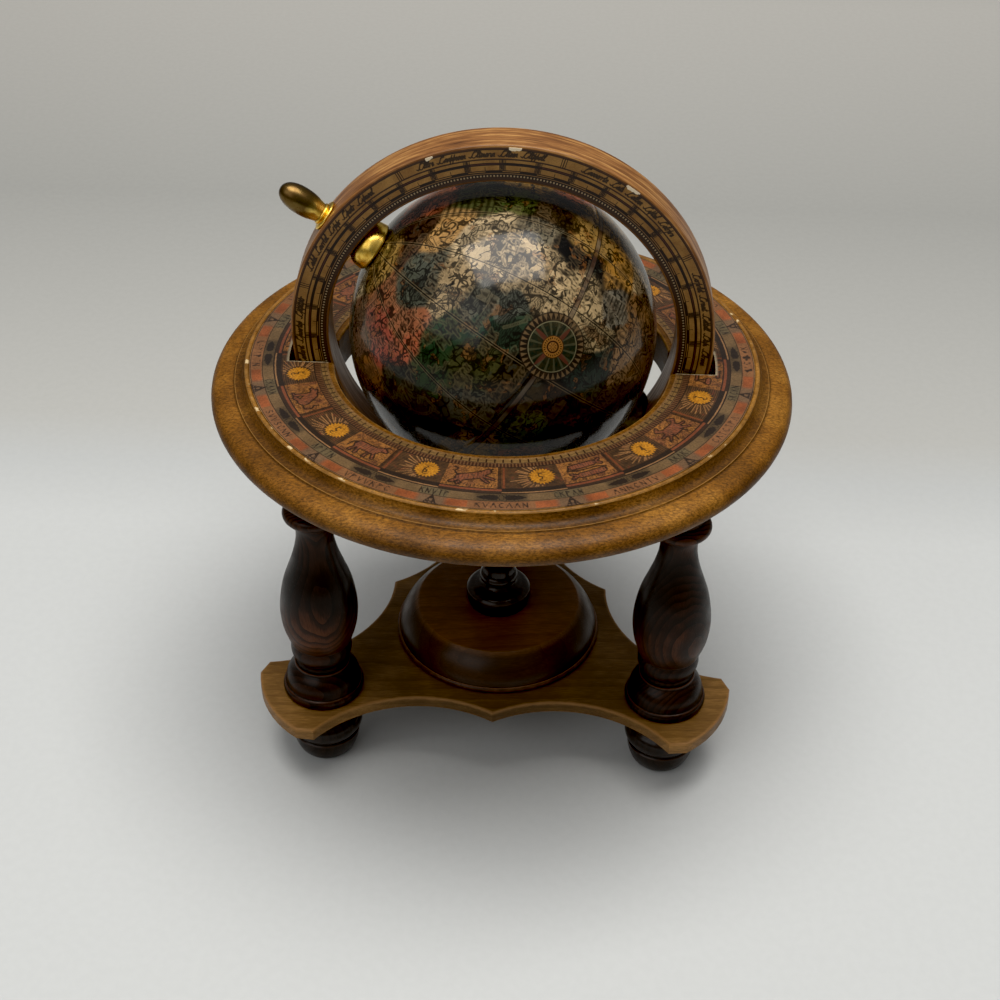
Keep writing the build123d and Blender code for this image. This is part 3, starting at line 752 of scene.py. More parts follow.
def plywood():
    """Meridian ring: plies bent round the ring, so streaks run with the rim and glue lines show."""
    s = Shader("plywood", **VARNISHED)
    place = s.shift(s.place(), -CENTRE)
    x, y, z = (s.node("SeparateXYZ", {0: place}, axis) for axis in "XYZ")
    radius = s.away(x, z)
    round_deg = s.bearing(x, z)
    rim = s.vector(round_deg * 0.05, y, radius * 0.6)
    drift = s.jitter(rim, 5.0, 2.4)
    long_streaks = s.noise(s.vector(round_deg * 0.05, y + drift, radius), 1.1, 4.0, 0.65)
    hair = s.noise(s.vector(round_deg * 0.09, y * 1.0, radius), 0.28)
    blotches = s.noise(s.vector(round_deg * 0.4, y, radius), 8.0)
    tone = long_streaks * 0.85 + hair * 0.25 + blotches * 0.35 - 0.22
    s.colour = s.ramp(tone, (0.32, (182, 136, 78)), (0.5, (126, 82, 42)), (0.68, (66, 36, 14)))
    glue = s.between(s.wrap(y + drift * 0.3 + 6.0, 3.9), 0.0, 0.16, 0.2)
    s.coat(glue * 0.5, (88, 52, 28))
    inner = s.rise(radius, MERIDIAN_R - 1.2, MERIDIAN_R - 2.4)
    s.coat(inner * 0.55, (92, 58, 32))
    crest = s.attribute("crest")
    worn = s.rise(crest + s.jitter(place, 1.6, 0.9), 0.2, 0.8)
    s.coat(worn * 0.5, (122, 82, 44))
    rough = s.rise(long_streaks, 0.3, 0.7, 0.34, 0.5)
    return s.finish(rough, s.bump(long_streaks + hair * 0.6, 0.05))


def make_meridian_ring():
    inner = SHEET_INNER - 0.65
    half = MERIDIAN_HALF
    ease = 0.45  # rounding of the ring's edges
    corners = []
    for radius, z, side_r, side_z in (
        (inner, -half, 1, 1), (MERIDIAN_R, -half, -1, 1), (MERIDIAN_R, half, -1, -1), (inner, half, 1, -1)
    ):
        before = (radius, z + side_z * ease)
        after = (radius + side_r * ease, z)
        middle = (radius + side_r * ease * 0.29, z + side_z * ease * 0.29)
        run = arc(before, middle, after, 4)
        corners.append(run if side_r * side_z > 0 else run[::-1])
    walls = [
        [(inner + 3, -half), (MERIDIAN_R - 3, -half)],
        [(MERIDIAN_R, -half / 2), (MERIDIAN_R, 0), (MERIDIAN_R, half / 2)],
        [(MERIDIAN_R - 3, half), (inner + 3, half)],
        [(inner, half / 2), (inner, 0), (inner, -half / 2)],
    ]
    runs = [run for pair in zip(corners, walls) for run in pair]
    ring = lathe("meridian_turned", chain(*runs), plywood(), RING_PLACE, 360, closed=True)
    nut_low = MERIDIAN_R - 1.4 - 2.5
    pocket = chain([(0, -MERIDIAN_R - 2), (3.95, -MERIDIAN_R - 2), (3.95, -nut_low), (0, -nut_low)])
    cut(ring, lathe("cutter", pocket, None, AXLE_PLACE, 64))
    settle(ring, "meridian", "plywood", "meridian_ring")


# ---------------------------------------------------------------- brass fittings


def make_brass():
    washer_top, knob_top, bell_low, bell_top = 1.1, 14.2, 45.6, 50.9
    washer = chain(
        [(1.55, 0), (4.4, 0)],
        arc((4.4, 0), (4.6, 0.35), (4.35, 0.75), 5),
        [(3.9, 0.95), (3.4, washer_top), (1.55, washer_top)],
    )
    knob = chain(
        [(0, 0), (3.1, 0)],
        arc((3.1, 0), (3.3, 0.35), (3.05, 0.7), 5),
        [(2.92, 0.8)],
        curve((2.9, 0.9), (3.15, 2.0), (3.6, 3.6), (3.9, 5.6), (3.95, 7.4), (3.8, 9.4), (3.3, 11.4),
              (2.5, 12.9), (1.5, 13.8), (0.6, knob_top - 0.06), (0, knob_top)),
    )
    top = bell_top - bell_low
    bell = chain(
        curve((6.9, 0), (7.15, 0.05), (7.3, 0.3), (7.28, 1.4), (7.1, 2.6), (6.6, 3.9), (5.9, 4.8),
              (5.0, top - 0.1), (4.4, top)),
        [(4.0, top), (1.6, top), (1.6, top - 1.6)],
        curve((1.6, top - 1.6), (3.6, top - 1.9), (5.3, 2.4), (6.1, 1.0), (6.35, 0.1)),
    )
    south = Matrix.Rotation(math.pi, 4, "X")
    pieces = (
        ("washer_turned", washer, MERIDIAN_R, Matrix.Identity(4), BRASS, "finial_washer"),
        ("finial_turned", knob, MERIDIAN_R + washer_top, Matrix.Identity(4), BRASS, "finial"),
        ("upper_bell_turned", bell, bell_low, Matrix.Identity(4), BRASS, "upper_bell"),
        ("lower_bell_turned", bell, bell_low, south, SHADED_BRASS, "lower_bell"),
    )
    for name, outline, height, turn, material, node in pieces:
        place = AXLE_PLACE @ turn @ Matrix.Translation((0, 0, height))
        piece = lathe(name, outline, material, place, 96, closed=node != "finial")
        settle(piece, "meridian", "brass", node)


# ---------------------------------------------------------------- drawn marks


def to_line(x, y, start, end):
    """Distance from points to a straight stroke."""
    dx, dy = end[0] - start[0], end[1] - start[1]
    t = np.clip(((x - start[0]) * dx + (y - start[1]) * dy) / (dx * dx + dy * dy), 0, 1)
    return np.hypot(x - start[0] - t * dx, y - start[1] - t * dy)


def strokes(lines, half_width):
    """Distance function of open lines drawn with one pen."""

    def distance(x, y):
        best = np.full(x.shape, FAR)
        for line in lines:
            for start, end in zip(line, line[1:]):
                best = np.minimum(best, to_line(x, y, start, end))
        return best - half_width

    return distance


def limbs(capsules):
    """Distance function of a body made of round-ended limbs, each (x, y, x, y, radius)."""

    def distance(x, y):
        parts = [to_line(x, y, c[:2], c[2:4]) - c[4] for c in capsules]
        return np.minimum.reduce(parts)

    return distance


class Sheet:
    """Grid of points on a printed sheet, with the distance from each point to the marks of each ink.

    across holds one value per row, along holds one value per row and column, in degrees. scale says
    how many millimetres a degree along is at a row, row_scale how many a step of across is. A mark is
    drawn in millimetres about a place on the sheet, x along and y up.
    """

    def __init__(self, across, along, scale, x_sign=1, y_sign=1, row_scale=1.0):
        self.across = across
        self.along = along
        self.scale = scale
        self.x_sign = x_sign
        self.y_sign = y_sign
        self.row_scale = row_scale
        self.layers = {}

    def draw(self, ink, along, across, reach, distance):
        layer = self.layers.setdefault(ink, np.full(self.along.shape, FAR))
        width, height = reach
        per_degree = self.scale(across)
        rows = np.flatnonzero(abs(self.across - across) * self.row_scale < height + 1)
        if len(rows) == 0:
            return
        near = (self.along[rows[0]] - along + 180) % 360 - 180
        columns = np.flatnonzero(abs(near) * per_degree < width + 1.5)
        window = np.ix_(rows, columns)
        x = ((self.along[window] - along + 180) % 360 - 180) * per_degree * self.x_sign
        y = (self.across[rows] - across)[:, None] * self.row_scale * self.y_sign + 0 * x
        layer[window] = np.minimum(layer[window], distance(x, y))

    def pen(self, along, across, reach, lines, half_width):
        self.draw("ink", along, across, reach, strokes(lines, half_width))


GLYPHS = (
    [[(0.1, 0), (0.1, 1)], [(0.1, 1), (0.85, 0.78), (0.1, 0.5)]],
    [[(0.05, 0), (0.5, 1), (0.95, 0)]],
    [[(0.5, 0), (0.5, 1)], [(0.2, 1), (0.8, 1)]],
    [[(0.1, 0), (0.1, 1)], [(0.1, 0.5), (0.85, 1)], [(0.35, 0.65), (0.9, 0)]],
    [[(0.85, 0.85), (0.45, 1), (0.1, 0.5), (0.45, 0), (0.9, 0.2)]],
    [[(0.05, 1), (0.5, 0), (0.95, 1)]],
    [[(0.1, 0), (0.1, 1), (0.85, 0), (0.85, 1)]],
    [[(0.8, 0.9), (0.3, 0.95), (0.2, 0.6), (0.8, 0.4), (0.7, 0.05), (0.15, 0.1)]],
)


def word(random, count, width, height, slant=0.0):
    """Row of letter-like marks, centred: they spell nothing."""
    lines = []
    step = width / count
    for k in range(count):
        left = -width / 2 + k * step + 0.12 * step
        for line in GLYPHS[random.integers(len(GLYPHS))]:
            lines.append(
                [(left + 0.76 * step * x + slant * height * y, height * (y - 0.5)) for x, y in line]
            )
    return lines


# Joined handwriting forms in a box one x-height tall, each with its width.
PEN_FORMS = (
    (0.75, [[(0.0, 0.0), (0.15, 0.9), (0.1, 0.1)],
            [(0.15, 0.7), (0.45, 1.0), (0.55, 0.7), (0.5, 0.1), (0.75, 0.1)]]),
    (0.7, [[(0.5, 0.8), (0.25, 1.0), (0.0, 0.5), (0.2, 0.0), (0.5, 0.3), (0.5, 0.9)],
           [(0.5, 0.5), (0.7, 0.2)]]),
    (0.55, [[(0.05, 0.45), (0.4, 0.65), (0.25, 1.0), (0.0, 0.5), (0.15, 0.0), (0.55, 0.25)]]),
    (0.4, [[(0.05, 0.9), (0.05, 0.15), (0.2, 0.0), (0.4, 0.3)]]),
    (0.5, [[(0.15, 1.7), (0.05, 0.2), (0.2, 0.0), (0.5, 0.3)], [(-0.1, 1.1), (0.4, 1.2)]]),
    (0.5, [[(0.0, 0.4), (0.35, 1.6), (0.2, 1.9), (0.05, 1.4), (0.05, 0.1), (0.5, 0.2)]]),
    (0.6, [[(0.0, 0.0), (0.1, 0.9), (0.05, 0.3)], [(0.1, 0.8), (0.35, 1.0), (0.55, 0.85)]]),
    (0.7, [[(0.3, 1.6), (0.1, 0.8), (0.0, -0.7)], [(0.1, 0.9), (0.5, 0.9), (0.45, 0.2), (0.1, 0.15)]]),
)


def script(random, width, height):
    """Handwriting-like row: slanted joined forms in words that each start with a swash capital."""
    lines = []
    small = 0.44 * height
    x = -width / 2
    while x < width / 2 - 5 * small:
        capital = curve((-0.3, 0.3), (0.2, 0.0), (0.7, 1.5), (1.3, 2.0), (1.5, 1.6), (0.9, 1.5), (0.5, 0.8),
                        (0.6, 0.1), (1.2, 0.0), (1.6, 0.6), steps=2)
        forms = [(1.75, [[tuple(point) for point in capital]])]
        forms += [PEN_FORMS[k] for k in random.integers(len(PEN_FORMS), size=random.integers(4, 9))]
        for advance, form in forms:
            for line in form:
                lines.append(
                    [(x + (px + 0.32 * py) * small, (py - 0.55) * small) for px, py in line]
                )
            x += advance * small
        x += 1.1 * small
    return lines


DIGITS = (
    [[(0, 0), (0, 1), (0.6, 1), (0.6, 0), (0, 0)]],
    [[(0.3, 0), (0.3, 1)]],
    [[(0, 1), (0.6, 1), (0.6, 0.5), (0, 0.5), (0, 0), (0.6, 0)]],
    [[(0, 1), (0.6, 1), (0.3, 0.5), (0.6, 0.3), (0.3, 0), (0, 0)]],
    [[(0.5, 0), (0.5, 1), (0, 0.4), (0.7, 0.4)]],
    [[(0.6, 1), (0, 1), (0, 0.5), (0.6, 0.4), (0.4, 0), (0, 0)]],
    [[(0.5, 1), (0, 0.5), (0, 0), (0.6, 0), (0.6, 0.4), (0, 0.4)]],
    [[(0, 1), (0.6, 1), (0.2, 0)]],
    [[(0, 0), (0.6, 1), (0, 1), (0.6, 0), (0, 0)]],
    [[(0.6, 0.5), (0, 0.6), (0, 1), (0.6, 1), (0.6, 0.4), (0.2, 0)]],
)


def number(value, height):
    """Digits of a scale number, centred."""
    text = str(value)
    lines = []
    for k, digit in enumerate(text):
        left = (k - len(text) / 2) * 0.62 * height
        for line in DIGITS[int(digit)]:
            lines.append([(left + 0.62 * height * x, height * (y - 0.5)) for x, y in line])
    return lines


# Generic zodiac-like beasts, each a body of limbs (x, y, x, y, radius) and loose strokes.
BEASTS = (
    (  # horned beast that walks
        [(-3.4, 0.2, 1.8, 0.4, 1.5), (2.0, 0.9, 3.8, 2.0, 0.9), (3.8, 2.0, 5.0, 1.6, 0.55),
         (-3.6, -0.6, -4.2, -3.4, 0.4), (-2.6, -0.8, -2.2, -3.5, 0.4), (1.2, -0.6, 0.8, -3.5, 0.4),
         (2.2, -0.4, 3.4, -3.0, 0.4)],
        [[(3.8, 2.8), (4.4, 3.8), (5.6, 3.6)], [(-4.6, 1.0), (-5.8, 0.2), (-6.0, -2.0)]],
    ),
    (  # beast that leaps
        [(-3.2, -0.8, 2.0, 1.0, 1.4), (2.2, 1.4, 4.0, 2.6, 1.0), (3.0, 0.2, 5.6, -0.8, 0.4),
         (2.2, -0.2, 4.2, -2.4, 0.4), (-3.6, -1.4, -5.6, -3.2, 0.45), (-2.8, -1.8, -3.6, -3.6, 0.45)],
        [[(-4.2, 0.0), (-5.4, 1.6), (-4.6, 3.0), (-5.8, 3.6)], [(4.6, 3.4), (5.4, 3.9)]],
    ),
    (  # two fish
        [(-4.0, 1.8, 2.4, 2.2, 1.0), (3.4, 2.2, 5.0, 3.2, 0.4), (3.4, 2.2, 5.0, 1.2, 0.4),
         (-2.4, -2.2, 4.0, -1.8, 1.0), (-3.4, -2.2, -5.0, -1.2, 0.4), (-3.4, -2.2, -5.0, -3.2, 0.4)],
        [[(-4.8, 1.8), (-5.8, 0.4), (-3.0, 0.0), (3.0, 0.2), (5.6, -0.6), (4.8, -1.8)]],
    ),
    (  # crab
        [(-1.4, 0, 1.4, 0, 2.0), (-2.6, 1.6, -4.4, 2.8, 0.5), (2.6, 1.6, 4.4, 2.8, 0.5),
         (-4.4, 2.8, -3.2, 3.7, 0.45), (4.4, 2.8, 3.2, 3.7, 0.45), (-3.0, 0, -5.2, -0.4, 0.3),
         (3.0, 0, 5.2, -0.4, 0.3), (-2.6, -1.2, -4.6, -2.8, 0.3), (2.6, -1.2, 4.6, -2.8, 0.3)],
        [[(-1.8, -1.2), (-2.4, -3.6)], [(1.8, -1.2), (2.4, -3.6)]],
    ),
    (  # pair of scales
        [(0, -3.2, 0, 3.2, 0.35), (-4.2, 2.6, 4.2, 2.6, 0.35), (-5.0, -0.8, -3.0, -0.8, 0.7),
         (3.0, -0.8, 5.0, -0.8, 0.7), (-1.6, -3.4, 1.6, -3.4, 0.4)],
        [[(-4.0, 2.4), (-5.4, -0.4)], [(-4.0, 2.4), (-2.6, -0.4)], [(4.0, 2.4), (5.4, -0.4)],
         [(4.0, 2.4), (2.6, -0.4)]],
    ),
    (  # beast that sits
        [(-1.6, -1.6, 0.6, 1.4, 1.7), (1.2, 2.2, 2.6, 2.8, 0.95), (2.6, 2.8, 3.9, 2.3, 0.45),
         (1.4, 0.6, 2.2, -3.2, 0.45), (-0.4, -2.6, 1.0, -3.4, 0.6), (2.2, -3.3, 3.2, -3.4, 0.3)],
        [[(-3.0, -2.6), (-5.2, -2.8), (-5.8, -0.8), (-4.6, 0.4), (-5.2, 1.6)], [(1.2, 3.2), (1.4, 3.9)]],
    ),
)


# ---------------------------------------------------------------- horizon print

MONTH = 30.0  # degrees of one panel
MONTH_START = -148.0
PAPER_NOTCH_HALF = MERIDIAN_HALF + PAPER + 0.5
NOTCH_R = 63.9  # how far the notches for the meridian ring reach
PRINT_IN_R = 52.2  # the ring's bare wood starts inside this
PRINT_OUT_R = PAPER_HIGH[0]
PANEL_R = (56.4, 66.2)  # the pictures
SUN_AT = (10.4, 61.2)  # place of a sun: degrees from its panel's start, radius
BEAST_AT = (22.6, 61.2)


def draw_horizon(sheet, random):
    """Suns, beasts, letter rows and towers of the twelve panels."""
    for month in range(12):
        start = MONTH_START + MONTH * month
        middle = start + MONTH / 2
        sheet.pen(start, 73.6, (7.5, 1.6), word(random, 7, 15.0, 2.1), 0.17)
        sheet.pen(middle, 70.2, (6.0, 1.6), word(random, 5, 8.6, 2.3), 0.17)
        spire = [[(-1.8, -1.9), (0, 1.9), (1.8, -1.9)], [(-2.6, -1.9), (2.6, -1.9)],
                 [(-0.6, -1.9), (-0.6, 0.6), (0.6, 0.6), (0.6, -1.9)], [(0, 0.4), (0, 2.2)],
                 [(-1.2, -1.0), (1.2, -1.0)]]
        sheet.pen(middle, 73.6, (3, 2.3), spire, 0.2)
        leaves = [(-6.6, 0, -2.2, 0, 0.25), (2.2, 0, 6.6, 0, 0.25)]
        for side in (-1, 1):
            leaves += [(side * 5.4, 0, side * 3.0, 0, 0.7), (side * 3.6, 0, side * 2.0, 0, 1.05)]
        sheet.draw("ink", start, 70.2, (8, 2), limbs(leaves))
        curls = [[(side * x, -1.2), (side * (x + 0.5), 0.0), (side * x, 1.2)]
                 for side in (-1, 1) for x in (0.3, 1.2, 2.1, 3.4, 4.6)]
        sheet.pen(start, 70.2, (8, 2), curls, 0.16)
        draw_sun(sheet, start + SUN_AT[0], SUN_AT[1], random)
        body, loose = BEASTS[month % len(BEASTS)]
        flip = -1 if (month // len(BEASTS)) % 2 else 1
        body = [(flip * c[0], c[1], flip * c[2], c[3], c[4]) for c in body]
        loose = [[(flip * x, y) for x, y in line] for line in loose]
        shape = limbs(body)
        place = (start + BEAST_AT[0], BEAST_AT[1], (7.0, 4.6))
        sheet.draw("beast", *place, shape)
        sheet.draw("ink", *place, lambda x, y: abs(shape(x, y) - 0.1) - 0.22)
        sheet.pen(*place, loose, 0.24)
        hatch = [[(x, -3.6), (x + 0.7, 3.8)] for x in np.arange(-6.4, 6.5, 0.8)]
        rows = strokes(hatch, 0.1)
        sheet.draw("ink", *place, lambda x, y: np.maximum(rows(x, y), shape(x, y) + 0.25))
        scrub = [[(x, -4.4), (x + 0.3, -4.4 + h)] for x, h in
                 zip(np.arange(-6.5, 6.6, 0.9), random.uniform(0.4, 1.5, 20))]
        sheet.pen(*place, scrub, 0.13)
        sky = [[(x, y), (x + 1.1, y + 0.2)] for x, y in
               zip(random.uniform(-6.5, 5.5, 9), random.uniform(1.8, 4.4, 9))]
        sheet.draw("ink", *place, lambda x, y: np.maximum(strokes(sky, 0.12)(x, y), 0.3 - shape(x, y)))


def draw_sun(sheet, degrees, radius, random):
    """Disc with short points all round and long beams over the dark ground."""
    points = 22
    core = 3.0
    tips = random.uniform(0.75, 1.15, points)

    def disc(x, y):
        away = np.hypot(x, y)
        turn = np.arctan2(y, x) / math.tau * points
        spike = 1 - 2 * abs(turn - np.floor(turn) - 0.5)
        tip = tips[np.floor(turn).astype(int) % points]
        return away - core - 1.15 * tip * (spike - 0.25)

    beams = []
    for k in range(17):
        angle = math.radians(100 + 160 * k / 16 + random.uniform(-3, 3))
        reach = random.uniform(6.0, 9.4)
        beams.append([(4.1 * math.cos(angle), 4.1 * math.sin(angle)),
                      (reach * math.cos(angle), reach * math.sin(angle))])
    rows = strokes(beams, 0.17)
    sheet.draw("beam", degrees, radius, (10.4, 4.8), lambda x, y: np.maximum(rows(x, y), abs(y) - 4.6))
    sheet.draw("sun", degrees, radius, (5, 4.8), disc)
    sheet.pen(degrees, radius, (3, 3), number(int(random.integers(2, 9)), 2.6), 0.2)
    ring_marks = [[(-1.3, 1.7), (1.3, 1.7)], [(-0.9, -1.8), (0.0, -2.2), (0.9, -1.8)]]
    sheet.pen(degrees, radius, (3, 3), ring_marks, 0.16)


def horizon_paper():
    """Print in month, sign, picture and scale rings, on yellowed varnished paper."""
    s = Shader("horizon_paper", **VARNISHED)
    place = s.place()
    x, y = (s.node("SeparateXYZ", {0: place}, axis) for axis in "XY")
    waver = s.jitter(place, 1.4, 0.16)
    radius = s.away(x, y) + waver
    degrees = s.bearing(x, y) + waver * 1.2
    panel = s.wrap(degrees - MONTH_START, MONTH)
    half_panel = s.between(panel, 0, 15.3, 0.2)
    label = abs(s.wrap(degrees - MONTH_START + 15, MONTH) - 15)  # degrees from a month's lettering
    dark = (44, 32, 26)
    grain = s.noise(place, 0.5, 3.0, 0.7)
    stain = s.noise(place, 6.0, 3.0)

    s.colour = s.ramp(stain, (0.3, (170, 130, 84)), (0.7, (146, 104, 62)))
    month_band = s.between(radius, 71.9, 75.3)
    s.coat(month_band, (160, 108, 68))
    blocks = s.between(label, 7.2, 12.4, 0.3) * s.between(radius, 72.25, 75.0)
    s.coat(blocks, s.ramp(stain, (0.3, (188, 104, 58)), (0.7, (160, 88, 48))))
    sign_band = s.between(radius, 68.5, 71.7)
    tower = s.rise(label, 11.2, 12.4)
    sign_tone = s.paint((138, 108, 72), tower, (122, 104, 74))
    s.coat(sign_band, sign_tone)
    s.coat(tower * s.between(radius, 71.9, 75.2) * 0.7, (128, 104, 78))
    leafy = s.rise(label, 6.6, 5.0) * sign_band
    s.coat(leafy * 0.62, (70, 58, 42))

    first_line = s.paint((54, 40, 30), s.between(radius, 67.7, 68.15), (174, 128, 84))
    second_line = s.paint((70, 50, 36), s.between(radius, 66.5, 67.3), (150, 84, 54))
    frame_tone = s.paint(second_line, half_panel, first_line)
    s.coat(s.between(radius, 66.2, 68.45), frame_tone)

    in_panel = s.between(radius, *PANEL_R)
    ground = s.ramp(s.noise(place, 2.2), (0.35, (84, 60, 38)), (0.6, (112, 78, 48)),
                    (0.75, (138, 72, 48)))
    picture = s.ramp(s.noise(place, 3.4), (0.35, (190, 126, 62)), (0.6, (160, 104, 60)),
                     (0.75, (138, 84, 56)))
    scribble = s.rise(abs(s.noise(place, 1.25, 2.0, 0.6, 0.8) - 0.5), 0.06, 0.025)
    ground = s.paint(ground, s.between(s.wrap(radius, 0.62), 0.0, 0.24, 0.14) * 0.75, dark)
    picture = s.paint(picture, scribble * 0.7, (66, 38, 28))
    panel_tone = s.paint(picture, half_panel, ground)
    panel_tone = s.paint(panel_tone, s.mark("beam"), (190, 136, 84))
    sun_tone = s.ramp(grain, (0.3, (232, 160, 50)), (0.7, (200, 128, 34)))
    panel_tone = s.paint(panel_tone, s.mark("sun"), sun_tone)
    beast_tone = s.ramp(s.noise(place, 1.6), (0.35, (122, 78, 62)), (0.55, (168, 96, 66)),
                        (0.7, (96, 70, 58)))
    panel_tone = s.paint(panel_tone, s.mark("beast") * 0.8, beast_tone)
    s.coat(in_panel, panel_tone)
    edge = s.between(panel, 0.25, 0.85, 0.15) * in_panel
    s.coat(edge, (140, 78, 46))
    s.coat(s.between(panel, 29.0, 30.0, 0.2) * in_panel * 0.85, dark)

    scale_band = s.between(radius, 54.7, 56.4)
    scale_ticks = s.between(s.wrap(degrees, 1.0), 0.0, 0.42, 0.2)
    s.coat(scale_band, s.paint((76, 46, 30), scale_ticks, (132, 92, 58)))
    day_band = s.between(radius, 52.75, 54.3)
    days = s.between(s.wrap(degrees + 0.3, 2.5), 0.0, 0.5, 0.2)
    day_line = s.between(radius, 53.35, 53.55)
    s.coat(day_band, (150, 114, 66))
    s.coat(day_band * s.most(days, day_line * 0.6), (56, 34, 20))
    lines = [s.between(radius, line - 0.12, line + 0.12) for line in (71.8, 68.45, 66.2, 56.4, 54.5)]
    outline = s.most(s.between(radius, 75.25, 75.45), *lines)
    s.coat(outline * 0.9, dark)
    s.coat(s.mark("ink", 0.1) * 0.92, dark)
    bare = s.rise(radius, 52.72, 52.6)
    s.coat(bare, s.ramp(grain, (0.3, (166, 124, 76)), (0.7, (132, 92, 50))))

    torn = (abs(y) - PAPER_NOTCH_HALF) + s.jitter(place, 0.9, 0.9)
    s.coat(s.rise(torn, 0.42, 0.2) * s.rise(radius, 64.9, 64.2), (196, 176, 142))
    s.shade(s.rise(grain, 0.25, 0.75, 0.56, 0.33))
    s.shade(s.rise(stain, 0.3, 0.7, 1.1, 0.84))
    rough = s.rise(grain, 0.3, 0.7, 0.36, 0.5)
    return s.finish(rough, s.bump(grain + stain, 0.02))


def sheet_faces(rows, columns, hidden):
    """Faces of a closed thin sheet: a fine top, walls and one wide underside face per column.

    hidden(row, column) says which faces of the top are left out, always from row 0 outwards.
    """
    faces = []
    under = rows * columns
    for column in range(columns):
        after = (column + 1) % columns
        first = 0
        while first < rows - 1 and hidden(first, column):
            first += 1
        for row in range(first, rows - 1):
            a, b = row * columns + column, row * columns + after
            faces.append((a, b, b + columns, a + columns))
        ends = (first, rows - 1)
        near, far = (under + end * columns for end in ends)
        faces.append((near + column, far + column, far + after, near + after))
        for end, wall in zip(ends, (near, far)):
            top = end * columns
            faces.append((top + column, top + after, wall + after, wall + column))
        for edge, neighbour in ((column, column - 1), (after, after)):
            if hidden(0, neighbour % columns) and not hidden(0, column):
                for row in range(first, min(rows - 1, NOTCH_ROWS)):
                    a = row * columns + edge
                    faces.append((a, a + columns, under + a + columns, under + a))
    return faces


NOTCH_ROWS = 36  # rows of the print beside a notch
OUTER_ROWS = 36  # rows outside the notches
HALF_COLUMNS = 575  # columns from one notch to the other
NOTCH_COLUMNS = 18  # columns that end at a notch


def make_horizon_print():
    radii = np.concatenate([
        np.linspace(PRINT_IN_R, NOTCH_R, NOTCH_ROWS, endpoint=False),
        np.linspace(NOTCH_R, PRINT_OUT_R, OUTER_ROWS),
    ])
    notch_deg = np.degrees(np.arcsin(PAPER_NOTCH_HALF / np.minimum(radii, NOTCH_R)))[:, None]
    half_share = np.linspace(0, 1, HALF_COLUMNS, endpoint=False)
    notch_share = np.linspace(0, 1, NOTCH_COLUMNS, endpoint=False)
    front = -180 + notch_deg + (180 - 2 * notch_deg) * half_share
    right = -notch_deg + 2 * notch_deg * notch_share
    degrees = np.concatenate([front, right, front + 180, right + 180], 1)
    sheet = Sheet(radii, degrees, lambda radius: radius * math.pi / 180, 1, -1)
    draw_horizon(sheet, np.random.default_rng(7))
    angles = np.radians(degrees)
    flat = np.stack([radii[:, None] * np.cos(angles), radii[:, None] * np.sin(angles)], 2).reshape(-1, 2)
    top = np.column_stack([flat, np.full(len(flat), HORIZON_TOP + PAPER)])
    under = np.column_stack([flat, np.full(len(flat), HORIZON_TOP)])
    period = HALF_COLUMNS + NOTCH_COLUMNS
    faces = sheet_faces(
        len(radii), degrees.shape[1],
        lambda row, column: row < NOTCH_ROWS and column % period >= HALF_COLUMNS,
    )
    piece = sheet_mesh("horizon_paper", np.concatenate([top, under]), faces, horizon_paper(), sheet)
    settle(piece, "stand", "printed_paper", "horizon_print")


def sheet_mesh(name, points, faces, material, sheet):
    """Mesh of a closed sheet with the drawn distances as attributes, without its unused points."""
    layers = {key: np.tile(layer.ravel(), 2) for key, layer in sheet.layers.items()}
    used = np.unique(np.concatenate([np.array(face) for face in faces]))
    index = np.zeros(len(points), int)
    index[used] = np.arange(len(used))
    faces = [tuple(index[list(face)]) for face in faces]
    layers = {key: values[used] for key, values in layers.items()}
    return add_mesh(name, points[used], faces, material, layers)


# ---------------------------------------------------------------- meridian prints

SHEET_INNER = MERIDIAN_HIGH[0] - 10.5
SHEET_OUTER = SHEET_HIGH[0]
CELL = 10.0  # degrees of one scale cell
CELL_START = 0.7
ZONE = 45.0
ZONE_START = 29.3


def draw_meridian(sheet, random):
    for zone in range(8):
        middle = ZONE_START + ZONE * (zone + 0.5)
        sheet.pen(middle, 59.7, (20.5, 2.2), script(random, 36.0, 2.5), 0.19)
    for cell in range(36):
        degrees = CELL_START + CELL * cell
        tens = (cell * 10) % 90
        sheet.pen(degrees, 57.7, (1.2, 0.7), number(tens, 0.72), 0.12)
        sheet.pen(degrees, 55.75, (1.2, 1.0), number(90 - tens, 1.1), 0.15)


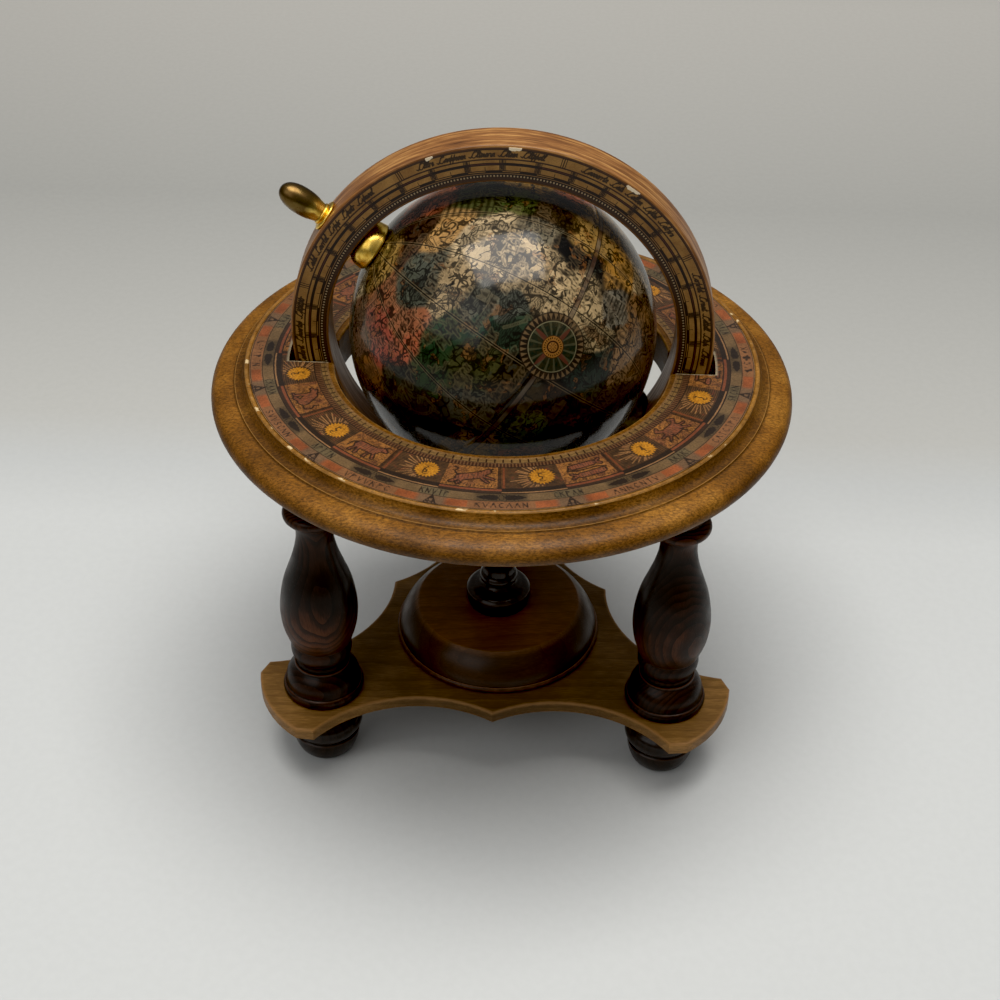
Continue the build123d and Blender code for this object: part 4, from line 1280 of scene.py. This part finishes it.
def meridian_paper():
    """Zone names, degree cells and a dotted row, brown on tan."""
    s = Shader("meridian_paper", **VARNISHED)
    place = s.place()
    local = s.shift(place, -CENTRE)
    x, y, z = (s.node("SeparateXYZ", {0: local}, axis) for axis in "XYZ")
    waver = s.jitter(place, 1.6, 0.1)
    radius = s.away(x, z) + waver
    degrees = s.bearing(x, z) + waver
    grain = s.noise(place, 0.45, 3.0, 0.7)
    stain = s.noise(place, 5.0, 3.0)
    tan = s.ramp(stain, (0.3, (184, 138, 72)), (0.7, (146, 102, 48)))
    dark = (34, 22, 15)
    red = (104, 50, 34)
    cell = s.wrap(degrees - CELL_START, CELL)
    odd = s.between(s.wrap(degrees - CELL_START, 2 * CELL), 0, CELL, 0.1)
    digits = s.between(abs(cell - CELL / 2), 4.15, 5.1, 0.1)
    zone = abs(s.wrap(degrees - ZONE_START + ZONE / 2, ZONE) - ZONE / 2)

    s.colour = s.paint((58, 38, 24), s.rise(radius, 61.2, 61.75), (92, 60, 34))
    s.coat(s.between(radius, 51.9, 52.9), (66, 42, 26))
    s.coat(s.between(radius, 58.55, 61.1), tan)
    bars = s.most(s.between(zone, 0.0, 0.16, 0.1), s.between(zone, 0.5, 0.72, 0.1))
    s.coat(bars * s.between(radius, 58.5, 61.2), dark)
    s.coat(s.between(radius, 57.25, 58.1), tan)
    hairline = s.between(radius, 56.82, 57.0, 0.1)
    paired = s.paint(dark, hairline * 0.85, red)
    s.coat(s.between(radius, 56.5, 57.3), s.paint(paired, odd, dark))
    s.coat(s.between(radius, 55.0, 56.45), tan)
    tick = s.between(cell, 4.92, 5.12, 0.1) * s.between(radius, 55.0, 56.0)
    frame_lines = s.most(digits * s.between(radius, 56.4, 58.1) * 0.45, tick)
    s.coat(frame_lines, dark)
    cell_ends = s.between(abs(cell - CELL / 2), 4.05, 4.2, 0.06) * s.between(radius, 55.0, 58.1)
    s.coat(cell_ends, dark)
    s.coat(digits * s.between(radius, 55.0, 56.45) * 0.5, (70, 46, 28))
    first = s.between(cell, 0.0, 5.0, 0.1)
    edge_row = s.paint(dark, s.between(radius, 54.5, 54.72, 0.1) * (1.0 - first), tan)
    s.coat(s.between(radius, 54.2, 55.0), edge_row)
    s.coat(s.between(radius, 53.95, 54.12, 0.1), (150, 112, 68))
    dots = s.between(s.wrap(degrees - CELL_START, 1.0), 0.3, 0.75, 0.12)
    dots = dots * s.between(radius, 53.05, 53.55)
    s.coat(s.between(radius, 52.9, 53.85), s.paint(dark, dots, (186, 158, 118)))
    s.coat(s.mark("ink", 0.09) * 0.94, dark)
    s.shade(s.rise(grain, 0.25, 0.75, 0.65, 0.44))
    chipped = s.attribute("chip") + s.jitter(place, 0.8, 0.9)
    s.coat(s.inside(chipped, 0.08), (214, 198, 168))
    rough = s.rise(grain, 0.3, 0.7, 0.34, 0.48)
    return s.finish(rough, s.bump(grain + stain, 0.02))


def make_meridian_prints():
    material = meridian_paper()
    radii = np.linspace(SHEET_INNER, SHEET_OUTER, 46)
    columns = 1720
    degrees = np.tile(np.linspace(0, 360, columns, endpoint=False), (len(radii), 1))
    angles = np.radians(degrees)
    x = radii[:, None] * np.cos(angles)
    z = radii[:, None] * np.sin(angles)
    faces = sheet_faces(len(radii), columns, lambda row, column: False)
    for side, node in ((-1, "meridian_print_front"), (1, "meridian_print_back")):
        sheet = Sheet(radii, degrees, lambda radius: radius * math.pi / 180, side, 1)
        draw_meridian(sheet, np.random.default_rng(3))
        chips = ((87.4, 1.1), (54.5, 1.6), (110.0, 0.5), (213.0, 0.9), (304.0, 1.2))
        for place, size in chips:
            shape = limbs([(-size, -0.3, size, -0.1, 0.65)])
            sheet.draw("chip", place, SHEET_OUTER, (size + 2, 2), shape)
        near, far = side * MERIDIAN_HALF, side * (MERIDIAN_HALF + PAPER)
        layers = [np.stack([x, np.full(x.shape, y), z], 2).reshape(-1, 3) for y in (far, near)]
        points = np.concatenate(layers) + CENTRE
        piece = sheet_mesh(node + "_paper", points, faces, material, sheet)
        settle(piece, "meridian", "printed_paper", node)


# ---------------------------------------------------------------- globe

GORES = 14  # printed strips that the map is made of
TEXT_ROW = 3.1  # spacing of the map's small letter rows
GORE_START = -133.0
EQUATOR_LAT = -2.0
TROPIC_LAT = 27.0  # north and south of the equator
ROSE_AT = (-1.7, -148.2)  # latitude, longitude
MAP_POLE_LAT = 86.2  # where the skins stop at the pole bushes
SKIN = 0.3  # thickness of the map skins
DEGREE = GLOBE_R * math.pi / 180

# Tints of the map: latitude, longitude, reach in degrees, colour.
TINTS = (
    (66, -170, 9, (150, 92, 58)), (50, -172, 9, (176, 108, 72)), (42, -178, 8, (182, 96, 64)),
    (56, -151, 8, (80, 82, 68)), (50, -140, 7, (80, 82, 70)), (52, -121, 8, (186, 142, 84)),
    (67, -130, 9, (74, 50, 34)), (46, -102, 9, (68, 82, 36)), (34, -99, 7, (84, 90, 42)),
    (38, -147, 8, (172, 146, 106)), (29, -149, 7, (106, 104, 86)), (36, -125, 10, (204, 178, 136)),
    (22, -124, 9, (198, 172, 130)), (20, -112, 6, (120, 110, 88)), (9, -128, 8, (196, 168, 124)),
    (17, -142, 6, (96, 98, 84)), (22, -100, 7, (84, 64, 38)), (5, -99, 7, (160, 124, 66)),
    (-5, -126, 9, (196, 168, 122)), (-12, -101, 8, (178, 128, 56)), (-14, -130, 7, (188, 160, 114)),
    (-18, -117, 7, (128, 120, 102)), (-20, -143, 8, (38, 48, 38)), (-8, -137, 5, (50, 60, 48)),
    (10, -149, 7, (52, 68, 48)), (20, -155, 7, (36, 60, 44)), (31, -166, 9, (38, 64, 36)),
    (14, -171, 9, (70, 68, 36)), (26, -179, 8, (44, 62, 34)), (-2, -171, 9, (66, 52, 30)),
    (-22, -166, 10, (56, 40, 27)), (-34, -134, 9, (156, 118, 76)), (-34, -113, 9, (134, 96, 54)),
    (-48, -124, 11, (116, 80, 48)), (-42, -155, 11, (60, 44, 30)), (60, 174, 9, (156, 80, 58)),
    (46, 168, 9, (166, 82, 60)), (60, 150, 11, (120, 86, 62)), (30, 166, 9, (52, 54, 42)),
    (14, 160, 11, (48, 44, 34)), (40, 146, 9, (140, 90, 46)), (76, -150, 9, (168, 132, 70)),
)
OCEAN_TINTS = ((188, 160, 116), (204, 180, 136), (108, 104, 84), (80, 80, 66))
LAND_TINTS = ((182, 100, 64), (84, 98, 44), (196, 146, 60), (58, 62, 42), (150, 112, 70), (66, 48, 32))


def sphere_points(lat, lon):
    """Unit vectors from the globe's middle, in the frame's axes."""
    lat, lon = np.radians(lat), np.radians(lon)
    return (
        (np.cos(lat) * np.cos(lon))[..., None] * AXLE_X
        + (np.cos(lat) * np.sin(lon))[..., None] * AXLE_Y
        + np.sin(lat)[..., None] * POLE
    )


def map_tints():
    """The tints above, and made-up ones in the same colours for the rest of the globe."""
    random = np.random.default_rng(11)
    tints = list(TINTS)
    taken = sphere_points(*np.array([tint[:2] for tint in tints]).T)
    for k in range(150):
        height = 1 - 2 * (k + 0.5) / 150
        lat = math.degrees(math.asin(height))
        lon = (k * 137.508) % 360 - 180
        spot = sphere_points(lat, lon)
        if (taken @ spot).max() > math.cos(math.radians(13)):
            continue
        choice = OCEAN_TINTS if math.sin(2.1 * math.radians(lon) + 0.04 * lat) > 0.1 else LAND_TINTS
        tints.append((lat, lon, random.uniform(7, 11), choice[random.integers(len(choice))]))
    return tints


def tint_layer(lat, lon):
    """Colour of each grid point: that of the nearest tints, with wandering borders."""
    points = sphere_points(lat, lon).reshape(-1, 3).astype(np.float32)
    total = np.zeros((len(points), 3), np.float32)
    weight = np.full(len(points), 1e-6, np.float32)
    for scale, reach in ((5.0, 0.07), (13.0, 0.03), (31.0, 0.016)):
        points = points + reach * np.sin(scale * points[:, [1, 2, 0]] + scale)
    points /= np.linalg.norm(points, axis=1)[:, None]
    for tint_lat, tint_lon, reach, colour in map_tints():
        spot = sphere_points(tint_lat, tint_lon).astype(np.float32)
        share = np.exp((points @ spot - 1) / (1 - math.cos(math.radians(reach * 0.36))))
        total += share[:, None] * np.array(rgb(*colour)[:3], np.float32)
        weight += share
    return np.column_stack([total / weight[:, None], np.ones(len(points))])


def draw_map(sheet, random, side):
    """Letter-like names, coast hatching, rivers, a grid, ships and swashes of one half.

    The graticule and the rose are in the material.
    """

    def anywhere(highest=0.97):
        lat = side * math.degrees(math.asin(random.uniform(0.02, highest)))
        return random.uniform(-180, 180), lat

    for _ in range(100):
        place = anywhere(0.985)
        height = random.choice([1.3, 1.7, 2.2, 2.9], p=[0.35, 0.35, 0.2, 0.1])
        count = int(random.integers(4, 9))
        lines = word(random, count, count * height * 0.85, height, 0.2 if random.random() < 0.4 else 0)
        tilt = random.normal(0, 0.25)
        tilted = [[(px, py + px * tilt) for px, py in line] for line in lines]
        reach = (count * height * 0.5, height * 0.6 + abs(tilt) * count * height * 0.5)
        sheet.pen(*place, reach, tilted, 0.08 + 0.06 * height)
    for _ in range(120):
        place = anywhere()
        count = int(random.integers(5, 12))
        hatch = [[(0.55 * k + random.uniform(-0.1, 0.1), 0), (0.55 * k, random.uniform(0.8, 2.4))]
                 for k in range(count)]
        sheet.pen(*place, (count * 0.6, 2.6), hatch, 0.09)
    for _ in range(60):
        place = anywhere()
        steps = np.cumsum(random.normal(0, 0.9, (9, 2)) + random.normal(0, 0.5, 2), axis=0)
        sheet.pen(*place, (10, 10), [[tuple(p) for p in steps]], 0.14)
    if side > 0:
        big = [[(-1.2, -1.6), (0.0, 1.7), (1.2, -1.6)], [(-0.7, -0.4), (0.7, -0.4)]]
        sheet.pen(-131.0, 50.0, (2, 2.2), big, 0.22)
        curl = curve((1.3, 1.4), (0.0, 1.8), (-1.1, 0.9), (0.9, -0.7), (0.2, -1.9), (-1.4, -1.3), steps=4)
        sheet.pen(-116.5, 52.0, (2, 2.4), [[tuple(p) for p in curl]], 0.3)
        waves = [[(x, -7.6), (x + 0.3, 7.2)] for x in np.arange(-4.4, 4.5, 1.15)]
        rows = [[(-4.8, y), (4.8, y)] for y in np.arange(-7.0, 7.4, 0.62)]
        sheet.pen(-101.5, 47.0, (6, 9), rows, 0.14)
        sheet.pen(-101.5, 47.0, (6, 9), waves[::3], 0.12)
    else:
        for lon, size in ((-121.0, 1.0), (-113.0, 0.8)):
            ship = [[(-3.0 * (1 - (y + 6) / 13), y), (2.6 * (1 - (y + 6) / 13), y)]
                    for y in np.arange(-6.0, 6.4, 0.75)]
            ship += [[(0, -7.0), (0, 7.0)], [(-3.4, -6.6), (3.2, -6.6)]]
            ship = [[(size * x, size * y) for x, y in line] for line in ship]
            sheet.pen(lon, -15.0, (5, 8), ship, 0.17)
        swash = curve((-9, 1), (-6, -2), (-3, 2), (0, -2), (3, 2), (6, -1), (9, 2), steps=5)
        for shift in (0.0, 1.6, 3.2):
            line = [(px, py + shift) for px, py in swash]
            sheet.pen(-122.0, -43.0 - shift, (10, 6), [line], 0.2)


def map_paper():
    """Antique map under thick glossy varnish."""
    s = Shader("map_paper", Coat_Weight=0.9, Coat_Roughness=0.13, Coat_IOR=1.32, Specular_IOR_Level=0.05)
    local = s.shift(s.place(), -CENTRE)
    normal = s.stretch(local, (1 / GLOBE_R,) * 3)
    height = s.dot(normal, POLE)
    lat = s.math("ARCSINE", height) * (180 / math.pi)
    lon = s.math("ARCTAN2", s.dot(normal, AXLE_Y), s.dot(normal, AXLE_X)) * (180 / math.pi)
    east_mm = s.math("SQRT", 1.0 - height * height) * DEGREE  # millimetres of one degree of longitude

    tint = s.attribute("tint", "Color")
    fine = s.noise(local, 0.62, 3.0, 0.75)
    lands = s.noise(s.shift(local, (3, 11, 5)), 9.0, 2.0, 0.55, 0.5)
    isles = s.noise(s.shift(local, (31, 7, 3)), 4.6, 2.0, 0.6, 0.5)
    busy = s.rise(s.noise(s.shift(local, (17, 3, 8)), 6.5, 2.0), 0.46, 0.52)
    stipple = s.rise(s.noise(s.shift(local, (2, 9, 4)), 1.1, 2.0, 0.7), 0.52, 0.6)
    names = s.rise(s.attribute("ink"), 0.5, 0.25)
    dark = (14, 12, 8)
    s.colour = s.shade(s.rise(s.noise(local, 8.0, 3.0), 0.3, 0.7, 1.1, 0.7), tint)
    s.coat(s.rise(isles, 0.6, 0.61) * 0.5, (140, 88, 42))
    s.coat(s.rise(isles, 0.36, 0.35) * 0.55, (60, 62, 50))
    shore = s.rise(lands, 0.55, 0.562)
    s.coat(shore * 0.55, s.shade(0.22, tint))
    worms = abs(s.noise(local, 2.3, 0.0) - 0.5)
    veins = abs(s.noise(s.shift(local, (5, 9, 2)), 4.6, 2.0, 0.55, 0.4) - 0.5)
    lat_mm = lat * DEGREE
    ripples = s.wrap(lat_mm + isles * 6.0, 0.85)
    engraved = s.most(
        s.rise(worms, 0.085, 0.05) * busy,
        stipple * s.rise(isles, 0.5, 0.56) * 0.75,
        s.between(ripples, 0.1, 0.45, 0.2) * shore * 0.8,
        s.rise(veins, 0.024, 0.014),
        s.between(lands, 0.544, 0.556, 0.006),
        s.between(isles, 0.592, 0.604, 0.006),
    )
    s.coat(engraved * 0.9, dark)
    s.coat(names * 0.45, s.paint(tint, 0.2, (190, 160, 116)))
    row = s.math("FLOOR", lat_mm / TEXT_ROW)
    in_row = lat_mm - row * TEXT_ROW
    letters = s.vector(lon * east_mm / 0.75, row * 3.7, in_row * 0.5)
    gaps = s.vector(lon * east_mm / 7.0, row * 5.3, 0.0)
    printed = s.rise(s.noise(letters, 1.0, 0.0), 0.5, 0.55) * s.rise(s.noise(gaps, 1.0, 0.0), 0.5, 0.52)
    printed = printed * s.between(in_row, 0.7, 2.0, 0.2)
    s.coat(printed * (1.0 - busy) * (1.0 - shore) * (1.0 - names) * 0.85, dark)
    s.shade(s.rise(fine, 0.3, 0.7, 1.2, 0.8))
    s.coat(s.mark("ink", 0.16) * 0.9, dark)

    gore = 360.0 / GORES
    from_line = abs(s.wrap(lon - GORE_START + gore / 2, gore) - gore / 2) * east_mm
    s.coat(s.between(from_line, -0.16, 0.16, 0.12) * 0.9, dark)
    # faint pale line beside each gore line: a painted highlight of the overlapped gore edge
    s.coat(s.between(from_line, 0.24, 0.44, 0.16) * 0.25, (176, 150, 108))
    off_equator = (lat - EQUATOR_LAT) * DEGREE
    belt = s.between(off_equator, -0.75, 0.75, 0.15)
    s.coat(belt * 0.7, s.ramp(s.noise(local, 6.0), (0.4, (112, 100, 84)), (0.6, (70, 46, 34))))
    s.coat(s.between(abs(off_equator), 0.6, 0.85, 0.12) * 0.9, dark)
    for tropic in (EQUATOR_LAT - TROPIC_LAT, EQUATOR_LAT + TROPIC_LAT, 64.0, -68.0):
        from_tropic = abs((lat - tropic) * DEGREE)
        strength = 0.85 if tropic < 0 else 0.5
        s.coat(s.between(from_tropic, 0.0, 0.16, 0.12) * strength, dark)
        s.coat(s.between(from_tropic, 0.5, 0.62, 0.12) * 0.4 * strength, dark)

    rose(s, normal)
    # painted shade and dark print: the map grows darker towards its bottom, where the horizon ring shades
    # it
    s.shade(s.rise(s.dot(normal, (0.0, 0.1, 1.0)), -0.45, 0.2, 0.15, 0.62))
    varnish = s.noise(local, 5.0)
    rough = s.rise(fine, 0.3, 0.7, 0.4, 0.58)
    material = s.finish(rough, s.bump(fine, 0.012))
    s.feed(s.surface.inputs["Coat Normal"], s.bump(varnish + s.noise(local, 0.9) * 0.16, 0.08))
    return material


def rose(s, normal):
    """Compass rose: toothed ring, dark field with pointers, dotted ring and a small star."""
    out = sphere_points(*ROSE_AT)
    lon = math.radians(ROSE_AT[1])
    east = -math.sin(lon) * AXLE_X + math.cos(lon) * AXLE_Y
    north = np.cross(out, east)
    x = s.dot(normal, east) * GLOBE_R
    y = s.dot(normal, north) * GLOBE_R
    facing = s.rise(s.dot(normal, out), 0.5, 0.6)
    away = s.away(x, y)
    turn = s.bearing(x, y)

    def ring(low, high, soft=0.16):
        return s.between(away, low, high, soft) * facing

    grain = s.noise(normal, 0.02)
    field = s.ramp(grain, (0.35, (22, 34, 24)), (0.65, (48, 44, 26)))
    s.coat(ring(0.0, 7.1) * 0.9, field)
    wedges = s.between(s.wrap(turn + 11, 22.5), 0.0, 6.5, 1.0) * ring(3.1, 6.8)
    s.coat(wedges * 0.35, (104, 100, 72))
    s.coat(ring(7.1, 9.5) * 0.85, (36, 27, 20))
    tooth = abs(s.wrap(turn, 10.0) - 5.0)
    teeth = s.rise(tooth - (away - 7.35) * 1.9, 0.6, -0.2) * ring(7.4, 9.1)
    s.coat(teeth * 0.75, (124, 98, 66))
    s.coat(ring(6.85, 7.1, 0.1) * 0.6, (150, 140, 104))
    pointer = abs(s.wrap(turn + 60.0, 90.0) - 45.0)
    point = s.rise(pointer - (7.6 - away) * 2.6, 1.0, -1.0) * ring(3.1, 7.2)
    s.coat(point * 0.75, (98, 52, 38))
    s.coat(ring(0.0, 3.15), (146, 98, 42))
    dots = s.between(s.wrap(turn, 15.0), 0.0, 6.5, 1.0) * ring(2.15, 2.65)
    s.coat(dots, (40, 26, 14))
    s.coat(s.most(ring(2.95, 3.15, 0.1), ring(1.3, 1.75)), (46, 26, 16))
    star = s.between(s.wrap(turn, 45.0), 0.0, 20.0, 3.0) * ring(0.3, 1.1)
    s.coat(star * 0.8, (70, 42, 20))


def make_globe():
    material = map_paper()
    rows, columns, inner_rows = 148, 600, 10
    for side, node in ((1, "map_skin_north"), (-1, "map_skin_south")):
        lat_rows = side * np.linspace(0, MAP_POLE_LAT, rows)
        lon_row = np.linspace(-180, 180, columns, endpoint=False)
        lat, lon = np.meshgrid(lat_rows, lon_row, indexing="ij")
        sheet = Sheet(
            lat_rows, lon, lambda row: DEGREE * math.cos(math.radians(row)), row_scale=DEGREE
        )
        draw_map(sheet, np.random.default_rng(21 + side), side)
        radius = np.full(lat.shape, GLOBE_R)
        radius[0] -= 0.12  # the two halves meet in a fine groove
        radius[1] -= 0.03
        outer = sphere_points(lat, lon) * radius[..., None]
        low_lat, low_lon = np.meshgrid(
            side * np.linspace(MAP_POLE_LAT, 0, inner_rows), lon_row, indexing="ij"
        )
        inner = sphere_points(low_lat, low_lon) * (GLOBE_R - SKIN)
        points = np.concatenate([outer.reshape(-1, 3), inner.reshape(-1, 3)]) + CENTRE
        faces = grid_faces(rows + inner_rows, columns)
        hidden = inner_rows * columns
        unmarked = np.full(hidden, FAR)
        layers = {key: np.append(layer.ravel(), unmarked) for key, layer in sheet.layers.items()}
        tint = tint_layer(lat, lon)
        layers["tint"] = np.concatenate([tint, np.tile(tint[:1], (hidden, 1))])
        skin = add_mesh(node + "_paper", points, faces, material, layers)
        settle(skin, "globe", "map_paper", node)


# ---------------------------------------------------------------- kept CAD nodes


def dress_kept_nodes():
    finishes = {
        "axle_rod": STEEL, "post_screw": STEEL, "lower_nut": BRASS, "globe_shell_north": BOARD,
        "globe_shell_south": BOARD, "seam_band": BOARD, "pole_bush_north": BRASS,
        "pole_bush_south": SHADED_BRASS,
    }
    for node, material in finishes.items():
        materials = frame["nodes"][node].data.materials
        materials.clear()
        materials.append(material)


# ---------------------------------------------------------------- studio


FLOOR_DEPTHS = (85, 620)  # the table's tone changes between these distances behind the stand
FLOOR_TONES = (
    (0.0, (194, 196, 195)), (0.07, (184, 186, 185)), (0.13, (178, 178, 174)), (0.5, (160, 160, 156)),
    (1.0, (191, 189, 183)),
)
FLOOR_REACH = 4000


def make_floor():
    """Pale table, a little darker behind the object as a wall in shade would be."""
    s = Shader("floor", Specular_IOR_Level=0.25)
    place = s.place()
    depth = s.node("SeparateXYZ", {0: place}, "Y")
    near, far = FLOOR_DEPTHS
    share = s.node("MapRange", {"Value": depth, "From Min": near, "From Max": far})
    s.colour = s.ramp(share, *FLOOR_TONES)
    grain = s.noise(place, 3.0, 3.0)
    s.shade(s.rise(grain, 0.3, 0.7, 1.01, 0.99))
    material = s.finish(s.rise(grain, 0.3, 0.7, 0.6, 0.7))
    corners = [(x * FLOOR_REACH, y * FLOOR_REACH, 0) for x, y in ((-1, -1), (1, -1), (1, 1), (-1, 1))]
    floor = add_mesh("floor", corners, [(0, 1, 2, 3)], material)


def area_light(name, place, target, size, power, colour=(1, 1, 1)):
    light = bpy.data.lights.new(name, "AREA")
    light.shape = "RECTANGLE"
    light.size, light.size_y = size
    light.energy = power
    light.color = colour
    lamp = bpy.data.objects.new(name, light)
    lamp.location = place
    lamp.rotation_euler = (Vector(target) - Vector(place)).to_track_quat("-Z", "Y").to_euler()
    bpy.context.scene.collection.objects.link(lamp)


def make_lights():
    """Room that is dark below and grey above, and two soft lamps."""
    world = bpy.data.worlds.new("studio")
    world.use_nodes = True
    tree = world.node_tree
    sky, height, ramp = (
        tree.nodes.new("ShaderNode" + kind) for kind in ("TexCoord", "SeparateXYZ", "ValToRGB")
    )
    for element, grey in zip(ramp.color_ramp.elements, (0.08, 0.42)):
        element.color = (grey, grey, grey, 1.0)
    tree.links.new(sky.outputs["Generated"], height.inputs[0])
    tree.links.new(height.outputs["Z"], ramp.inputs[0])
    tree.links.new(ramp.outputs[0], tree.nodes["Background"].inputs["Color"])
    bpy.context.scene.world = world
    middle = (0, 0, 0.12)
    area_light("overhead", (0.03, -0.1, 1.2), middle, (0.9, 0.7), 15.0, (1.0, 0.98, 0.95))
    area_light("front", (-0.9, -1.1, 1.1), middle, (1.4, 1.0), 5.0)


def make_camera():
    """Camera placed in units of the horizon ring's radius, about the middle of the floor."""
    unit = HORIZON_R * MM
    spot = Vector((0.1508, -5.1271, 4.8357))
    yaw, pitch, roll = (math.radians(angle) for angle in (-1.683, 37.411, 1.0006))
    ahead = Vector((math.sin(yaw) * math.cos(pitch), math.cos(yaw) * math.cos(pitch), -math.sin(pitch)))
    right = ahead.cross(Vector((0, 0, 1))).normalized()
    up = right.cross(ahead)
    axes = (
        math.cos(roll) * right + math.sin(roll) * up,
        math.cos(roll) * up - math.sin(roll) * right,
        -ahead,
        spot * unit,
    )
    data = bpy.data.cameras.new("camera")
    data.lens = 63.648
    data.sensor_width = 36.0
    data.clip_start = 0.01
    camera = bpy.data.objects.new("camera", data)
    camera.matrix_world = Matrix([[axis[row] for axis in axes] for row in range(3)] + [[0, 0, 0, 1]])
    bpy.context.scene.collection.objects.link(camera)
    bpy.context.scene.camera = camera


make_camera()
make_lights()
make_floor()
make_plate()
make_plinth()
make_legs()
make_post()
make_horizon_ring()
make_meridian_ring()
make_brass()
make_horizon_print()
make_meridian_prints()
make_globe()
dress_kept_nodes()
view = bpy.context.scene.view_settings
view.view_transform = "Standard"
view.use_curve_mapping = True
view.curve_mapping.black_level = (0.006, 0.0065, 0.007)
view.curve_mapping.update()
